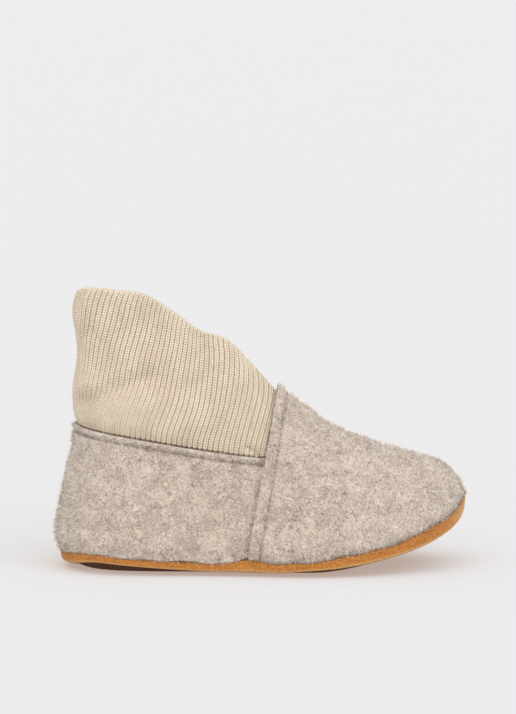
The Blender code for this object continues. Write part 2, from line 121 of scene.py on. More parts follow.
# Tan suede: short nap; rubbed paler and painted lighter for the floor's light on the turn of the edge,
# painted highlight at the toe tip, and painted shade up at the seam and underneath
SUEDE_LOOK = Look(
    patch=4.0, fleck=1.6, fibre=0.34, roughness=0.9, sheen=0.06, grain=0.12,
    dark=(0.67, 0.226, 0.031), light=(0.81, 0.304, 0.050), coats=(
        # rubbed paler on the turn of the edge, and painted lighter there for the floor's bounced light
        Coat("rubbed_and_floor_lit", None, None, 0.80, (0.98, 0.64, 0.26)),
        # painted shade: the upper half of the edge darker under the felt's overhang
        Coat("roll", 1.35, 1.95, 0.65, (0.42, 0.142, 0.030)),
        # painted highlight: the toe tip brighter orange, where it turns away from the key light
        Coat("toe", None, None, 0.90, (1.0, 0.61, 0.26)),
        # painted shade in the crevice at the seam
        Coat("roll", 1.90, 1.98, 0.60, (0.26, 0.085, 0.025)),
        Coat("Fibres", 0.48, 0.0, 0.85, (0.30, 0.096, 0.016)),
        Coat("Fibres", 0.52, 1.0, 0.75, (0.95, 0.49, 0.125)),
        # painted shade: near black under the rolled edge, where the sole's contact shadow falls
        Coat("roll", 1.40, 1.20, 0.95, (0.060, 0.020, 0.006)),
    ),
)
# where the rubbed and painted lighter band rises and fades on the roll
RUBBED_AND_LIT_FROM = (1.20, 1.40)
RUBBED_AND_LIT_TO = (1.72, 1.42)


def smooth(value):
    """Smooth step from 0 to 1."""
    value = np.clip(value, 0.0, 1.0)
    return value * value * (3.0 - 2.0 * value)


def curve(knots, values, at):
    """Smooth curve through a table's column, with slopes taken from the neighbouring rows."""
    row = np.clip(np.searchsorted(knots, at) - 1, 1, len(knots) - 3)
    span = knots[row + 1] - knots[row]
    step = (at - knots[row]) / span
    before = (values[row + 1] - values[row - 1]) / (knots[row + 1] - knots[row - 1]) * span
    after = (values[row + 2] - values[row]) / (knots[row + 2] - knots[row]) * span
    rise = step * step * (3 - 2 * step)
    start = step * (1 - step) ** 2
    end = step * step * (step - 1)
    return values[row] + (values[row + 1] - values[row]) * rise + before * start + after * end


def mirrored(values, sign):
    """A table column with one more value past each end, mirrored in the shoe's middle plane."""
    return np.array([sign * values[1], *values, sign * values[-2]])


def last_columns():
    """Knots of the last's rows, by distance along the sole seam, and its columns with mirrored ends."""
    along = [row.along * SOLE_LENGTH for row in LAST]
    half = [row.breadth * BALL_WIDTH / 2 for row in LAST]
    knots = np.concatenate([[0.0], np.cumsum(np.hypot(np.diff(along), np.diff(half)))])
    length = knots[-1]
    knots = knots / length
    columns = {"along": mirrored(along, 1), "half": mirrored(half, -1)}
    for name in ("seam", "lift", "roll", "fullness", "belly"):
        columns[name] = mirrored([getattr(row, name) for row in LAST], 1)
    for name in ("hub", "lean"):
        columns[name] = mirrored([getattr(row, name) * SOLE_LENGTH for row in LAST], 1)
    columns["ridge"] = mirrored([row.ridge * INSTEP_HEIGHT for row in LAST], 1)
    return np.array([-knots[1], *knots, 2 - knots[-2]]), columns, length


KNOTS, COLUMNS, SIDE_LENGTH = last_columns()
THROAT = KNOTS[THROAT_ROW + 1]


def column(name, station):
    """A column of the last at a station from the heel (0) to the toe (1)."""
    return curve(KNOTS, COLUMNS[name], station)


def seam_height(station):
    """Height of the sole seam, with its small peak under the vamp's edge."""
    distance = (station - THROAT) * SIDE_LENGTH / NOTCH_WIDTH
    return column("seam", station) + NOTCH_RISE * np.exp(-distance * distance)


def outward(station):
    """Direction out of the sole's outline in plan, on the side where y is positive."""
    ahead = column("along", station + PROBE) - column("along", station - PROBE)
    aside = column("half", station + PROBE) - column("half", station - PROBE)
    size = np.hypot(ahead, aside)
    return -aside / size, ahead / size


def swing(x):
    """How far the last's middle line has swung to the big toe."""
    share = np.maximum(0.0, x / SOLE_LENGTH - SWING_START) / (1 - SWING_START)
    return TOE_SWING * share * share


def side_of(place):
    """Splits a place that runs from -1 to 1 round the shoe into its side and its station."""
    place = (place + 1.0) % 2.0 - 1.0
    return np.copysign(1.0, place), np.abs(place)


def floor_line(x):
    """Height of the sole's middle over the floor: flat from the heel to the ball, then the toe spring."""
    share = (x / SOLE_LENGTH - SPRING_START) / (SPRING_END - SPRING_START)
    return TOE_RISE * np.maximum(0.0, share) ** SPRING_POWER


def sole_point(place, share):
    """Point of the sole's underside: share 0 is its middle line, 1 where its edge rolls up, 2 the seam."""
    place = np.where(share < 0.0, -place, place)
    share = np.abs(share)
    side, station = side_of(place)
    along = column("along", station)
    roll = column("roll", station)
    out_x, out_y = outward(station)
    edge_x = along - out_x * roll
    edge_y = column("half", station) - out_y * roll
    lift = column("lift", station)
    edge_z = floor_line(edge_x) + lift

    hub = SOLE_HUB_HEEL * SOLE_LENGTH + (SOLE_HUB_TOE - SOLE_HUB_HEEL) * along
    flat_x = hub + (edge_x - hub) * share
    flat_z = floor_line(flat_x) + lift * smooth((share - FLAT_SHARE) / (1.0 - FLAT_SHARE))

    turn = np.clip(share - 1.0, 0.0, 1.0) * pi / 2
    out = roll * np.sin(turn) ** (2 / SOLE_FULLNESS)
    rise = 1.0 - np.maximum(0.0, np.cos(turn)) ** (2 / SOLE_FULLNESS)

    rolled = share > 1.0
    x = np.where(rolled, edge_x + out_x * out, flat_x)
    y = np.where(rolled, edge_y + out_y * out, edge_y * share)
    z = np.where(rolled, edge_z + (seam_height(station) - edge_z) * rise, flat_z)
    return np.stack([x, side * y + swing(x), z], axis=-1)


def unit(vectors):
    """Vectors of length 1."""
    return vectors / np.maximum(np.linalg.norm(vectors, axis=-1, keepdims=True), TINY)


def skin_normal(surface, first, second):
    """Outward normals of a surface of two parameters, taken a little aside where the surface closes up."""
    def tilt(second):
        across = surface(first + PROBE, second) - surface(first - PROBE, second)
        up = surface(first, second + PROBE) - surface(first, second - PROBE)
        return np.cross(up, across)

    normal = tilt(second)
    closed = np.linalg.norm(normal, axis=-1, keepdims=True) < TINY
    aside = tilt(second + np.copysign(2 * PROBE, 0.5 - second))
    return unit(np.where(closed, aside, normal))


def wall(outer, inner, steps, reach):
    """Points of a wall in columns of rows: along one skin, round its edge in half an ellipse that stands out
    by the vectors reach, and back along the other skin."""
    middle = (outer[:, -1] + inner[:, -1]) / 2
    half = (outer[:, -1] - inner[:, -1]) / 2
    turns = np.linspace(0.0, pi, steps + 2)[1:-1]
    edge = np.stack([middle + half * cos(turn) + reach * sin(turn) for turn in turns], axis=1)
    return np.concatenate([outer, edge, inner[:, ::-1]], axis=1)


def placed(name, data):
    """New object in the scene, at the origin, that shows a mesh, a light or a camera."""
    piece = bpy.data.objects.new(name, data)
    bpy.context.scene.collection.objects.link(piece)
    return piece


def lattice(name, points, material, wrap=False, cap=False, **marks):
    """Smooth mesh piece from points in millimetres, in columns of rows. wrap joins the last column to the
    first, cap closes the first and last column, whose rows run out and back. marks are values for the
    points."""
    columns, rows = points.shape[:2]
    index = np.arange(columns * rows).reshape(columns, rows)
    if wrap:
        index = np.vstack([index, index[:1]])
    quads = np.stack([index[:-1, :-1], index[1:, :-1], index[1:, 1:], index[:-1, 1:]], axis=-1)
    faces = quads.reshape(-1, 4).tolist()
    if cap:
        for end in (index[0], index[-1]):
            there = end[:rows // 2]
            back = end[::-1][:rows // 2]
            faces += np.stack([there[:-1], there[1:], back[1:], back[:-1]], axis=-1).tolist()

    mesh = bpy.data.meshes.new(name)
    mesh.from_pydata(((points.reshape(-1, 3) + SEAT) * MM).tolist(), [], faces)
    for mark, values in marks.items():
        layer = mesh.attributes.new(mark, "FLOAT", "POINT")
        values = np.broadcast_to(values, (columns, rows)).astype(np.float32)
        layer.data.foreach_set("value", values.ravel())
    shape = bmesh.new()
    shape.from_mesh(mesh)
    bmesh.ops.remove_doubles(shape, verts=shape.verts, dist=MERGE)
    bmesh.ops.dissolve_degenerate(shape, edges=shape.edges, dist=MERGE)
    bmesh.ops.recalc_face_normals(shape, faces=shape.faces)
    shape.to_mesh(mesh)
    shape.free()
    mesh.shade_smooth()
    mesh.materials.append(material)
    return placed(name, mesh)


def add(tree, kind, inputs=None, **settings):
    """Adds a node with its settings, and its inputs as values or as other nodes' sockets."""
    node = tree.nodes.new(kind)
    for name, value in settings.items():
        setattr(node, name, value)
    for socket, value in (inputs or {}).items():
        if isinstance(value, bpy.types.NodeSocket):
            tree.links.new(value, node.inputs[socket])
        else:
            node.inputs[socket].default_value = value
    return node


def maths(tree, operation, *values):
    """Output of a Math node."""
    return add(tree, "ShaderNodeMath", dict(enumerate(values)), operation=operation).outputs[0]


def spread(tree, value, low, high, share=1.0):
    """Output of a smooth Map Range node: from nothing at low to a share at high."""
    sizes = {"Value": value, "From Min": low, "From Max": high, "To Max": share}
    return add(tree, "ShaderNodeMapRange", sizes, interpolation_type="SMOOTHSTEP").outputs[0]


def tint(tree, factor, first, second):
    """Output of a colour Mix node; a colour is three numbers or a socket."""
    inputs = {0: factor}
    for socket, colour in ((6, first), (7, second)):
        inputs[socket] = colour if isinstance(colour, bpy.types.NodeSocket) else (*colour, 1.0)
    return add(tree, "ShaderNodeMix", inputs, data_type="RGBA").outputs[2]


def mark_of(tree, name):
    """Output of an Attribute node that reads a mark of the mesh."""
    return add(tree, "ShaderNodeAttribute", attribute_name=name).outputs["Fac"]


def sockets(tree, way, kind, *names):
    """Adds named inputs or outputs of a kind to a tree."""
    for name in names:
        tree.interface.new_socket(name, in_out=way, socket_type="NodeSocket" + kind)


def fibre_grain():
    """Shader group for the woolly and napped surfaces: soft patches, sparse flecks and fine fibres."""
    tree = bpy.data.node_groups.new("fibre grain", "ShaderNodeTree")
    sockets(tree, "INPUT", "Float", *(grain.size for grain in GRAINS))
    sockets(tree, "OUTPUT", "Float", *(grain.mask for grain in GRAINS))
    sizes = add(tree, "NodeGroupInput").outputs
    masks = add(tree, "NodeGroupOutput").inputs
    place = add(tree, "ShaderNodeTexCoord").outputs["Object"]
    for grain in GRAINS:
        noise = add(tree, "ShaderNodeTexNoise", {
            "Vector": place,
            "Scale": maths(tree, "DIVIDE", 1 / MM, sizes[grain.size]),
            "Detail": grain.detail,
            "Distortion": grain.distortion,
        })
        tree.links.new(spread(tree, noise.outputs["Fac"], grain.low, grain.high), masks[grain.mask])
    return tree


FIBRE_GRAIN = fibre_grain()


def napped_material(name, look, extra=None):
    """Material of a napped cloth. Its coats' marks are masks of the grain, masks that the function extra adds
    to these, or marks of the mesh; its bump is the fibres, unless extra adds one."""
    material = bpy.data.materials.new(name)
    material.use_nodes = True
    tree = material.node_tree
    shader = tree.nodes["Principled BSDF"].inputs
    shader["Roughness"].default_value = look.roughness
    shader["Specular IOR Level"].default_value = NAPPED_SPECULAR
    shader["Sheen Weight"].default_value = look.sheen
    shader["Sheen Roughness"].default_value = NAPPED_SHEEN_ROUGHNESS
    sizes = {"Patch Size": look.patch, "Fleck Size": look.fleck, "Fibre Size": look.fibre}
    masks = dict(add(tree, "ShaderNodeGroup", sizes, node_tree=FIBRE_GRAIN).outputs.items())
    if extra:
        extra(tree, masks)

    body = tint(tree, masks["Patches"], look.dark, look.light)
    for coat in look.coats:
        mask = masks[coat.mark] if coat.mark in masks else mark_of(tree, coat.mark)
        if coat.low is None:
            mask = maths(tree, "MULTIPLY", mask, coat.share)
        else:
            mask = spread(tree, mask, coat.low, coat.high, coat.share)
        body = tint(tree, mask, body, coat.colour)
    tree.links.new(body, shader["Base Color"])
    if look.grain:
        height = masks.get("Bump", masks["Fibres"])
        bump = add(tree, "ShaderNodeBump", {"Height": height, "Distance": look.grain * MM, "Strength": 1.0})
        tree.links.new(bump.outputs["Normal"], shader["Normal"])
    return material


def rubbed_and_floor_lit_edge(tree, masks):
    """Adds the mask of the suede on the turn of the edge: rubbed pale, and painted lighter for the floor's
    light.
    """
    roll = mark_of(tree, "roll")
    lower, upper = (spread(tree, roll, *ends) for ends in (RUBBED_AND_LIT_FROM, RUBBED_AND_LIT_TO))
    masks["rubbed_and_floor_lit"] = maths(tree, "MULTIPLY", lower, upper)


sole_places = np.linspace(-1.0, 1.0, SOLE_STATIONS, endpoint=False)
sole_shares = np.concatenate([
    np.linspace(0.0, 1.0, SOLE_FLAT_ROWS, endpoint=False),
    1.0 + np.linspace(0.0, 1.0, SOLE_ROLL_ROWS),
])
place, share = np.meshgrid(sole_places, sole_shares, indexing="ij")
under = sole_point(place, share)
sole_normal = skin_normal(sole_point, place, share)
over = under - sole_normal * SUEDE
sole_points = wall(under, over, SOLE_EDGE_STEPS, np.array([0.0, 0.0, SUEDE_EDGE_ROUND]))
sole_roll = np.concatenate([sole_shares, [2.0] * SOLE_EDGE_STEPS, 2.0 + sole_shares[::-1]])
# mask of the painted highlight over the toe tip
sole_toe_highlight = smooth((np.abs(sole_places) - TOE_HIGHLIGHT_FROM) / (1.0 - TOE_HIGHLIGHT_FROM))[:, None]

# The slipper's own x and y start at the heel's middle; SEAT moves them to where the frame has the sole
low, high = (np.array(corner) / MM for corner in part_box("outsole"))
SEAT = (low + high) / 2 - (under.min(axis=(0, 1)) + under.max(axis=(0, 1))) / 2
SEAT[2] = 0.0
suede = napped_material("tan_suede", SUEDE_LOOK, rubbed_and_floor_lit_edge)
outsole = lattice("outsole_suede", sole_points, suede, wrap=True, roll=sole_roll, toe=sole_toe_highlight)
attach(outsole, "root")
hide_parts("outsole")


# Felt insole
# A sock of thin pale wool felt, cut a little smaller than the sole. It lies loose on the suede inside the
# slipper and shows only from above.

INSOLE = 2.0
INSOLE_REACH = 0.96
GAP = 0.3
INSOLE_ROWS = 16
INSOLE_EDGE_STEPS = 3

# Pale wool felt, a little worn into patches
INSOLE_LOOK = Look(
    patch=9.0, fleck=2.2, fibre=0.45, roughness=0.95, sheen=0.3, grain=0.25,
    dark=(0.56, 0.48, 0.40), light=(0.70, 0.62, 0.53), coats=(
        Coat("Flecks", None, None, 0.40, (0.36, 0.28, 0.22)),
    ),
)

insole_shares = INSOLE_REACH * np.linspace(0.0, 1.0, INSOLE_ROWS)
place, share = np.meshgrid(sole_places, insole_shares, indexing="ij")
sole_normal = skin_normal(sole_point, place, share)
under = sole_point(place, share) - sole_normal * (SUEDE + GAP)
over = under - sole_normal * INSOLE
reach = unit(under[:, -1] - under[:, -2]) * INSOLE / 2
insole_points = wall(under, over, INSOLE_EDGE_STEPS, reach)
insole = lattice("insole_felt", insole_points, napped_material("pale_felt", INSOLE_LOOK), wrap=True)
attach(insole, "root")
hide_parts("insole")


# Felt quarter
# The back half of the upper: thick boiled-wool felt in heathered oatmeal, wrapped round the heel, its top
# edge turned and stitched over the knit cuff's margin, its front edges sewn under the vamp.

FELT = 2.4
FELT_EDGE = 1.3
FELT_TAPER = 6.0
SWELL_AT = 0.09
HEEL_HEIGHT = 44.5
CORNER_HEIGHT = 35.8
EDGE_FALL_POWER = 1.4
LAP_UNDER = 2.2
LAP_SINK = 0.2
LAP_START = 0.25
LAP_TROUGH = 0.55
LAP_TROUGH_WIDTH = 1.3
STITCH = 3.0
STITCH_DEPTH = 0.35
BETWEEN_HOLES = 0.35
HEM_STITCH_AT = 1.7
HEM_PULL_WIDTH = 0.55
HEM_SHADE_WIDTH = 0.5
HEM_BARE = 0.52
FELT_EDGE_ROUND = 0.5
FELT_EDGE_STEPS = 4
NAP_BED = 0.9
SEAM_BED_SHARE = 0.012
SEAM_GAP = 0.07
LUMP_SIZE = 9.0
LUMP_HEIGHT = 0.22
LUMP_WAVES = 14
LUMP_RANGE = (0.7, 1.5)
QUARTER_SEED = 3
QUARTER_COLUMNS = 240
QUARTER_ROWS = 58

# Heathered oatmeal felt: pale and dark patches, sparse brown and grey clusters, fine fibres
FELT_LOOK = Look(
    patch=4.6, fleck=1.8, fibre=0.30, roughness=0.95, sheen=0.5, grain=0.22,
    dark=(0.620, 0.496, 0.378), light=(0.870, 0.736, 0.596), coats=(
        Coat("Flecks", 0.0, 0.6, 0.50, (0.50, 0.365, 0.29)),
        Coat("Flecks", 0.6, 1.0, 0.75, (0.30, 0.195, 0.14)),
        Coat("Fibres", 0.5, 0.0, 0.95, (0.31, 0.225, 0.170)),
        Coat("Fibres", 0.5, 1.0, 0.85, (0.98, 0.875, 0.755)),
        # painted shade in the stitched grooves, with some real darkening of the pressed felt
        Coat("groove", None, None, 0.30, (0.26, 0.175, 0.13)),
    ),
)

# How far a sewn edge stands proud of the last at a distance from it
Lap = namedtuple("Lap", "distance proud")
QUARTER_HEM = (
    Lap(0.0, 0.05),
    Lap(0.5, 0.40),
    Lap(0.9, 0.42),
    Lap(1.4, 0.10),
    Lap(1.7, -0.12),
    Lap(2.0, 0.10),
    Lap(2.6, 0.30),
    Lap(4.0, 0.20),
    Lap(7.0, 0.00),
)

# Soft troughs and ridges, each along a line in the side view; depth is outward, so a trough is negative
Crease = namedtuple("Crease", "x0 z0 x1 z1 width depth")
QUARTER_CREASES = (
    Crease(6.0, 37.0, 22.0, 35.0, 4.5, -0.5),
    Crease(8.0, 27.0, 34.0, 24.0, 7.0, 0.5),
    Crease(44.0, 28.0, 50.0, 12.0, 3.5, -0.45),
    Crease(2.0, 12.0, 30.0, 9.0, 4.0, 0.4),
)


def last_point(place, share):
    """Point of the last: place runs round the shoe, share up its wall from the sole seam to the ridge."""
    place = np.where(share > 1.0, -place, place)
    share = np.where(share > 1.0, 2.0 - share, share)
    side, station = side_of(place)
    turn = np.maximum(0.0, share) * pi / 2
    power = 2.0 / column("fullness", station)
    inward = np.maximum(0.0, np.cos(turn)) ** power
    rise = np.sin(turn) ** power
    swell = column("belly", station) * rise / SWELL_AT * np.exp(1.0 - rise / SWELL_AT)
    out_x, out_y = outward(station)
    hub = column("hub", station)
    seam = seam_height(station)
    x = hub + (column("along", station) - hub) * inward + column("lean", station) * rise + swell * out_x
    y = side * (column("half", station) * inward + swell * out_y)
    z = seam + (column("ridge", station) - seam) * rise
    return np.stack([x, y + swing(x), z], axis=-1)


def edge_share(station):
    """Share of the last's wall where the quarter's top edge lies, falling from the heel to the vamp."""
    fall = np.maximum(0.0, np.cos(pi / 2 * np.minimum(1.0, station / THROAT))) ** EDGE_FALL_POWER
    height = CORNER_HEIGHT + (HEEL_HEIGHT - CORNER_HEIGHT) * fall
    seam = seam_height(station)
    rise = (height - seam) / (column("ridge", station) - seam)
    return np.arcsin(rise ** (column("fullness", station) / 2)) * 2 / pi


def wall_share(distance, station):
    """Share of the last's wall that a distance takes up near the quarter's top edge."""
    share = edge_share(station)
    step = last_point(station, share + PROBE) - last_point(station, share - PROBE)
    return distance * 2 * PROBE / np.linalg.norm(step, axis=-1)


def proud(table, distance):
    """How far a lapped or hemmed edge stands out at a distance from it, on a smooth curve."""
    knots = np.array([lap.distance for lap in table])
    values = np.array([lap.proud for lap in table])
    row = np.clip(np.searchsorted(knots, distance) - 1, 0, len(knots) - 2)
    step = smooth((distance - knots[row]) / (knots[row + 1] - knots[row]))
    return values[row] + (values[row + 1] - values[row]) * step


def lumps(points, seed):
    """Soft unevenness of felt: waves of about the lumps' size in random directions."""
    rng = np.random.default_rng(seed)
    total = np.zeros(points.shape[:-1])
    for _ in range(LUMP_WAVES):
        direction = unit(rng.normal(size=3)) * tau / LUMP_SIZE * rng.uniform(*LUMP_RANGE)
        total += np.sin(points @ direction + rng.uniform(0.0, tau))
    return LUMP_HEIGHT * total / sqrt(LUMP_WAVES)


def creased(table, points):
    """How far soft troughs and ridges, placed in the side view, move a skin out."""
    out = np.zeros(points.shape[:-1])
    for row in table:
        run_x = row.x1 - row.x0
        run_z = row.z1 - row.z0
        from_x = points[..., 0] - row.x0
        from_z = points[..., 2] - row.z0
        along = np.clip((from_x * run_x + from_z * run_z) / (run_x ** 2 + run_z ** 2), 0.0, 1.0)
        gap = np.hypot(from_x - along * run_x, from_z - along * run_z)
        out += row.depth * np.exp(-(gap / row.width) ** 2)
    return out


def run_length(points):
    """Length along a line of points, up to each of them."""
    return np.concatenate([[0.0], np.cumsum(np.linalg.norm(np.diff(points, axis=0), axis=-1))])


def stitch_pull(run, distance, at, width):
    """Share from 0 to 1 by which the stitches pull felt down, at a run along a stitched line and a
    distance across it: most at the needle holes."""
    hole = (0.5 + 0.5 * np.cos(tau * run / STITCH)) ** 2
    return (BETWEEN_HOLES + (1.0 - BETWEEN_HOLES) * hole) * np.exp(-((distance - at) / width) ** 2)


FELT_MATERIAL = napped_material("oatmeal_felt", FELT_LOOK)
quarter_end = THROAT + LAP_UNDER / SIDE_LENGTH
quarter_places = np.linspace(-quarter_end, quarter_end, QUARTER_COLUMNS)
station = np.minimum(np.abs(quarter_places), THROAT)
top = edge_share(station)
hem_distances = np.array([
    7.0, 5.5, 4.0, 3.3, 2.6, 2.3, 2.0, 1.85, 1.7, 1.55, 1.4, 1.15, 0.9, 0.7, 0.5, 0.25, 0.0,
])
hem_shares = top[:, None] - wall_share(1.0, station)[:, None] * hem_distances
wall_shares = hem_shares[:, :1] * np.linspace(0.0, 1.0, QUARTER_ROWS, endpoint=False)
quarter_share = np.concatenate([wall_shares, hem_shares], axis=1)
quarter_place = np.broadcast_to(quarter_places[:, None], quarter_share.shape)
skin = last_point(quarter_place, quarter_share)
felt_normal = skin_normal(last_point, quarter_place, quarter_share)
below = (top[:, None] - quarter_share) / wall_share(1.0, station)[:, None]
hem_run = run_length(skin[:, -1])[:, None]
raised = proud(QUARTER_HEM, below) + creased(QUARTER_CREASES, skin) + lumps(skin, QUARTER_SEED)
raised -= STITCH_DEPTH * stitch_pull(hem_run, below, HEM_STITCH_AT, HEM_PULL_WIDTH)
raised -= NAP_BED * smooth(below / HEM_STITCH_AT) * smooth(quarter_share / SEAM_BED_SHARE)
beside = (np.abs(quarter_places) - THROAT)[:, None] * SIDE_LENGTH
raised -= LAP_TROUGH * np.exp(-(beside / LAP_TROUGH_WIDTH) ** 2)
lapped = smooth(beside / LAP_UNDER + LAP_START)
raised = raised * (1.0 - lapped) - LAP_SINK * lapped
thick = FELT_EDGE + (FELT - FELT_EDGE) * smooth(below / FELT_TAPER) * (1.0 - lapped)
outer = skin + felt_normal * raised[..., None]
inner = skin - felt_normal * thick[..., None]
outer[:, 0, 2] += SEAM_GAP
inner[:, 0, 2] += SEAM_GAP
reach = unit(skin[:, -1] - skin[:, -2]) * FELT_EDGE_ROUND
quarter_points = np.concatenate([wall(outer, inner, FELT_EDGE_STEPS, reach), outer[:, :1]], axis=1)
hem_row = QUARTER_ROWS + list(hem_distances).index(HEM_STITCH_AT)
sewn = np.abs(quarter_places) < THROAT
hem_stitch_line = outer[sewn, hem_row], felt_normal[sewn, hem_row]
quarter_rows = quarter_share.shape[1]
napped = np.zeros(quarter_points.shape[:2])
napped[:, :quarter_rows] = (1.0 - lapped) * (np.abs(below - HEM_STITCH_AT) >= HEM_BARE)
shaded = np.zeros(quarter_points.shape[:2])
shaded[:, :quarter_rows] = stitch_pull(hem_run, below, HEM_STITCH_AT, HEM_SHADE_WIDTH) * (1.0 - lapped)
quarter = lattice("quarter_felt", quarter_points, FELT_MATERIAL, nap=napped, groove=shaded)
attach(quarter, "root")
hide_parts("upper")


# Felt vamp
# The front half of the upper, of the same felt: over the toe and instep in one piece. Its back edge is
# turned under and topstitched over the quarter and the cuff, which leaves a raised cord with a groove.

VAMP_EDGE = (
    Lap(0.5, 0.85),
    Lap(1.8, 0.95),
    Lap(2.4, 0.68),
    Lap(3.3, 0.20),
    Lap(4.4, 0.45),
    Lap(5.5, 0.60),
    Lap(9.0, 0.40),
    Lap(18.0, 0.10),
    Lap(30.0, 0.00),
)
VAMP_FOLD_REACH = 0.75
VAMP_LAP_CLEAR = 0.12
LAP_STEP = 0.8
MARGIN_ROOM = 4.5
MARGIN_STEP = 2.0
EDGE_BED_REACH = 6.0
TOE_BED = 0.2
TOE_BED_REACH = 10.0
VAMP_STITCH_AT = 3.3
VAMP_PULL_WIDTH = 0.6
VAMP_SHADE_WIDTH = 0.7
VAMP_BARE = 0.65
CORD_LUMP = 0.26
CORD_AT = 1.6
CORD_WIDTH = 1.0
SEAM_THIN = 0.35
SEAM_THIN_SHARE = 0.08
RIDGE_THIN = 0.75
RIDGE_THIN_SHARE = 0.75
VAMP_FOLD_STEPS = 8
FOLD_NAP_ROWS = 4
VAMP_SEED = 5
VAMP_COLUMNS = 201
VAMP_ROWS = 96
VAMP_CREASES = (
    Crease(72.0, 53.2, 77.5, 49.6, 3.2, 1.1),
    Crease(72.0, 47.0, 70.0, 30.0, 4.0, -0.45),
    Crease(80.0, 14.0, 100.0, 13.0, 5.0, 0.45),
    Crease(88.0, 34.0, 104.0, 27.0, 5.0, -0.35),
    Crease(108.0, 27.0, 120.0, 24.0, 3.5, -0.35),
    Crease(96.0, 24.0, 112.0, 20.0, 5.0, 0.35),
)

edge_distances = np.array([0.5, 0.8, 1.2, 1.8, 2.2, 2.6, 2.9, 3.1, 3.3, 3.5, 3.75, 4.0, 4.5, 5.0, 5.5])
edge_stations = THROAT + edge_distances / SIDE_LENGTH
vamp_stations = np.concatenate([edge_stations[:-1], np.linspace(edge_stations[-1], 1.0, VAMP_ROWS)])
across = np.linspace(-1.0, 1.0, VAMP_COLUMNS)
vamp_share = np.broadcast_to((1.0 - np.abs(across))[:, None], (VAMP_COLUMNS, len(vamp_stations)))
vamp_place = np.where(across < 0.0, -1.0, 1.0)[:, None] * vamp_stations
skin = last_point(vamp_place, vamp_share)
felt_normal = skin_normal(last_point, vamp_place, vamp_share)
distance = np.broadcast_to((vamp_stations - THROAT) * SIDE_LENGTH, vamp_share.shape)
vamp_run = run_length(skin[:, 0])[:, None]
thinned = SEAM_THIN + (1.0 - SEAM_THIN) * smooth(vamp_share / SEAM_THIN_SHARE)
to_ridge = smooth((vamp_share - RIDGE_THIN_SHARE) / (1.0 - RIDGE_THIN_SHARE))
thinned = thinned * (1.0 - RIDGE_THIN * to_ridge)
raised = proud(VAMP_EDGE, distance)
raised -= STITCH_DEPTH * stitch_pull(vamp_run, distance, VAMP_STITCH_AT, VAMP_PULL_WIDTH)
raised -= CORD_LUMP * np.cos(tau * vamp_run / STITCH) * np.exp(-((distance - CORD_AT) / CORD_WIDTH) ** 2)
uneven = creased(VAMP_CREASES, skin) + lumps(skin, VAMP_SEED)
toe_bed = TOE_BED * np.exp(-((vamp_stations - 1.0) * SIDE_LENGTH / TOE_BED_REACH) ** 2)
bed = (NAP_BED + toe_bed) * smooth(vamp_share / SEAM_BED_SHARE)
raised = raised * thinned + (uneven - bed) * smooth(distance / EDGE_BED_REACH)
inside = VAMP_LAP_CLEAR - (VAMP_LAP_CLEAR + FELT_EDGE) * smooth((distance - LAP_UNDER) / LAP_STEP)
inside -= (FELT - FELT_EDGE) * smooth((distance - MARGIN_ROOM) / MARGIN_STEP)
outer = skin + felt_normal * raised[..., None]
inner = skin + felt_normal * inside[..., None]
outer[[0, -1], :, 2] += SEAM_GAP
inner[[0, -1], :, 2] += SEAM_GAP
reach = unit(skin[:, 0] - skin[:, 1]) * VAMP_FOLD_REACH
vamp_points = wall(outer[:, ::-1], inner[:, ::-1], VAMP_FOLD_STEPS, reach)
stitch_row = list(edge_distances).index(VAMP_STITCH_AT)
vamp_stitch_line = outer[:, stitch_row], felt_normal[:, stitch_row]
vamp_rows = vamp_share.shape[1]
napped = np.zeros(vamp_points.shape[:2])
napped[:, :vamp_rows] = np.abs(distance - VAMP_STITCH_AT)[:, ::-1] >= VAMP_BARE
napped[:, vamp_rows:vamp_rows + FOLD_NAP_ROWS] = 1.0
shaded = np.zeros(vamp_points.shape[:2])
shaded[:, :vamp_rows] = stitch_pull(vamp_run, distance, VAMP_STITCH_AT, VAMP_SHADE_WIDTH)[:, ::-1]
vamp = lattice("vamp_felt", vamp_points, FELT_MATERIAL, cap=True, nap=napped, groove=shaded)
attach(vamp, "root")
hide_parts("upper")


# Topstitching
# Lockstitch in strong oatmeal thread, about three millimetres a stitch, sunk into the felt: one row along
# the vamp's turned edge from sole to sole, one along the quarter's top edge.

Thread = namedtuple("Thread", "length width height")
TOPSTITCH = Thread(2.0, 0.48, 0.36)
THREAD_SIDES = 6
THREAD_RINGS = 3
THREAD_STAND = 0.28

# Spun oatmeal thread, darker than the felt it has sunk into, partly as painted shade in the needle dents
THREAD_LOOK = Look(
    patch=3.0, fleck=1.0, fibre=0.20, roughness=0.85, sheen=0.05, grain=0.08,
    dark=(0.37, 0.285, 0.218), light=(0.49, 0.385, 0.300), coats=(),
)


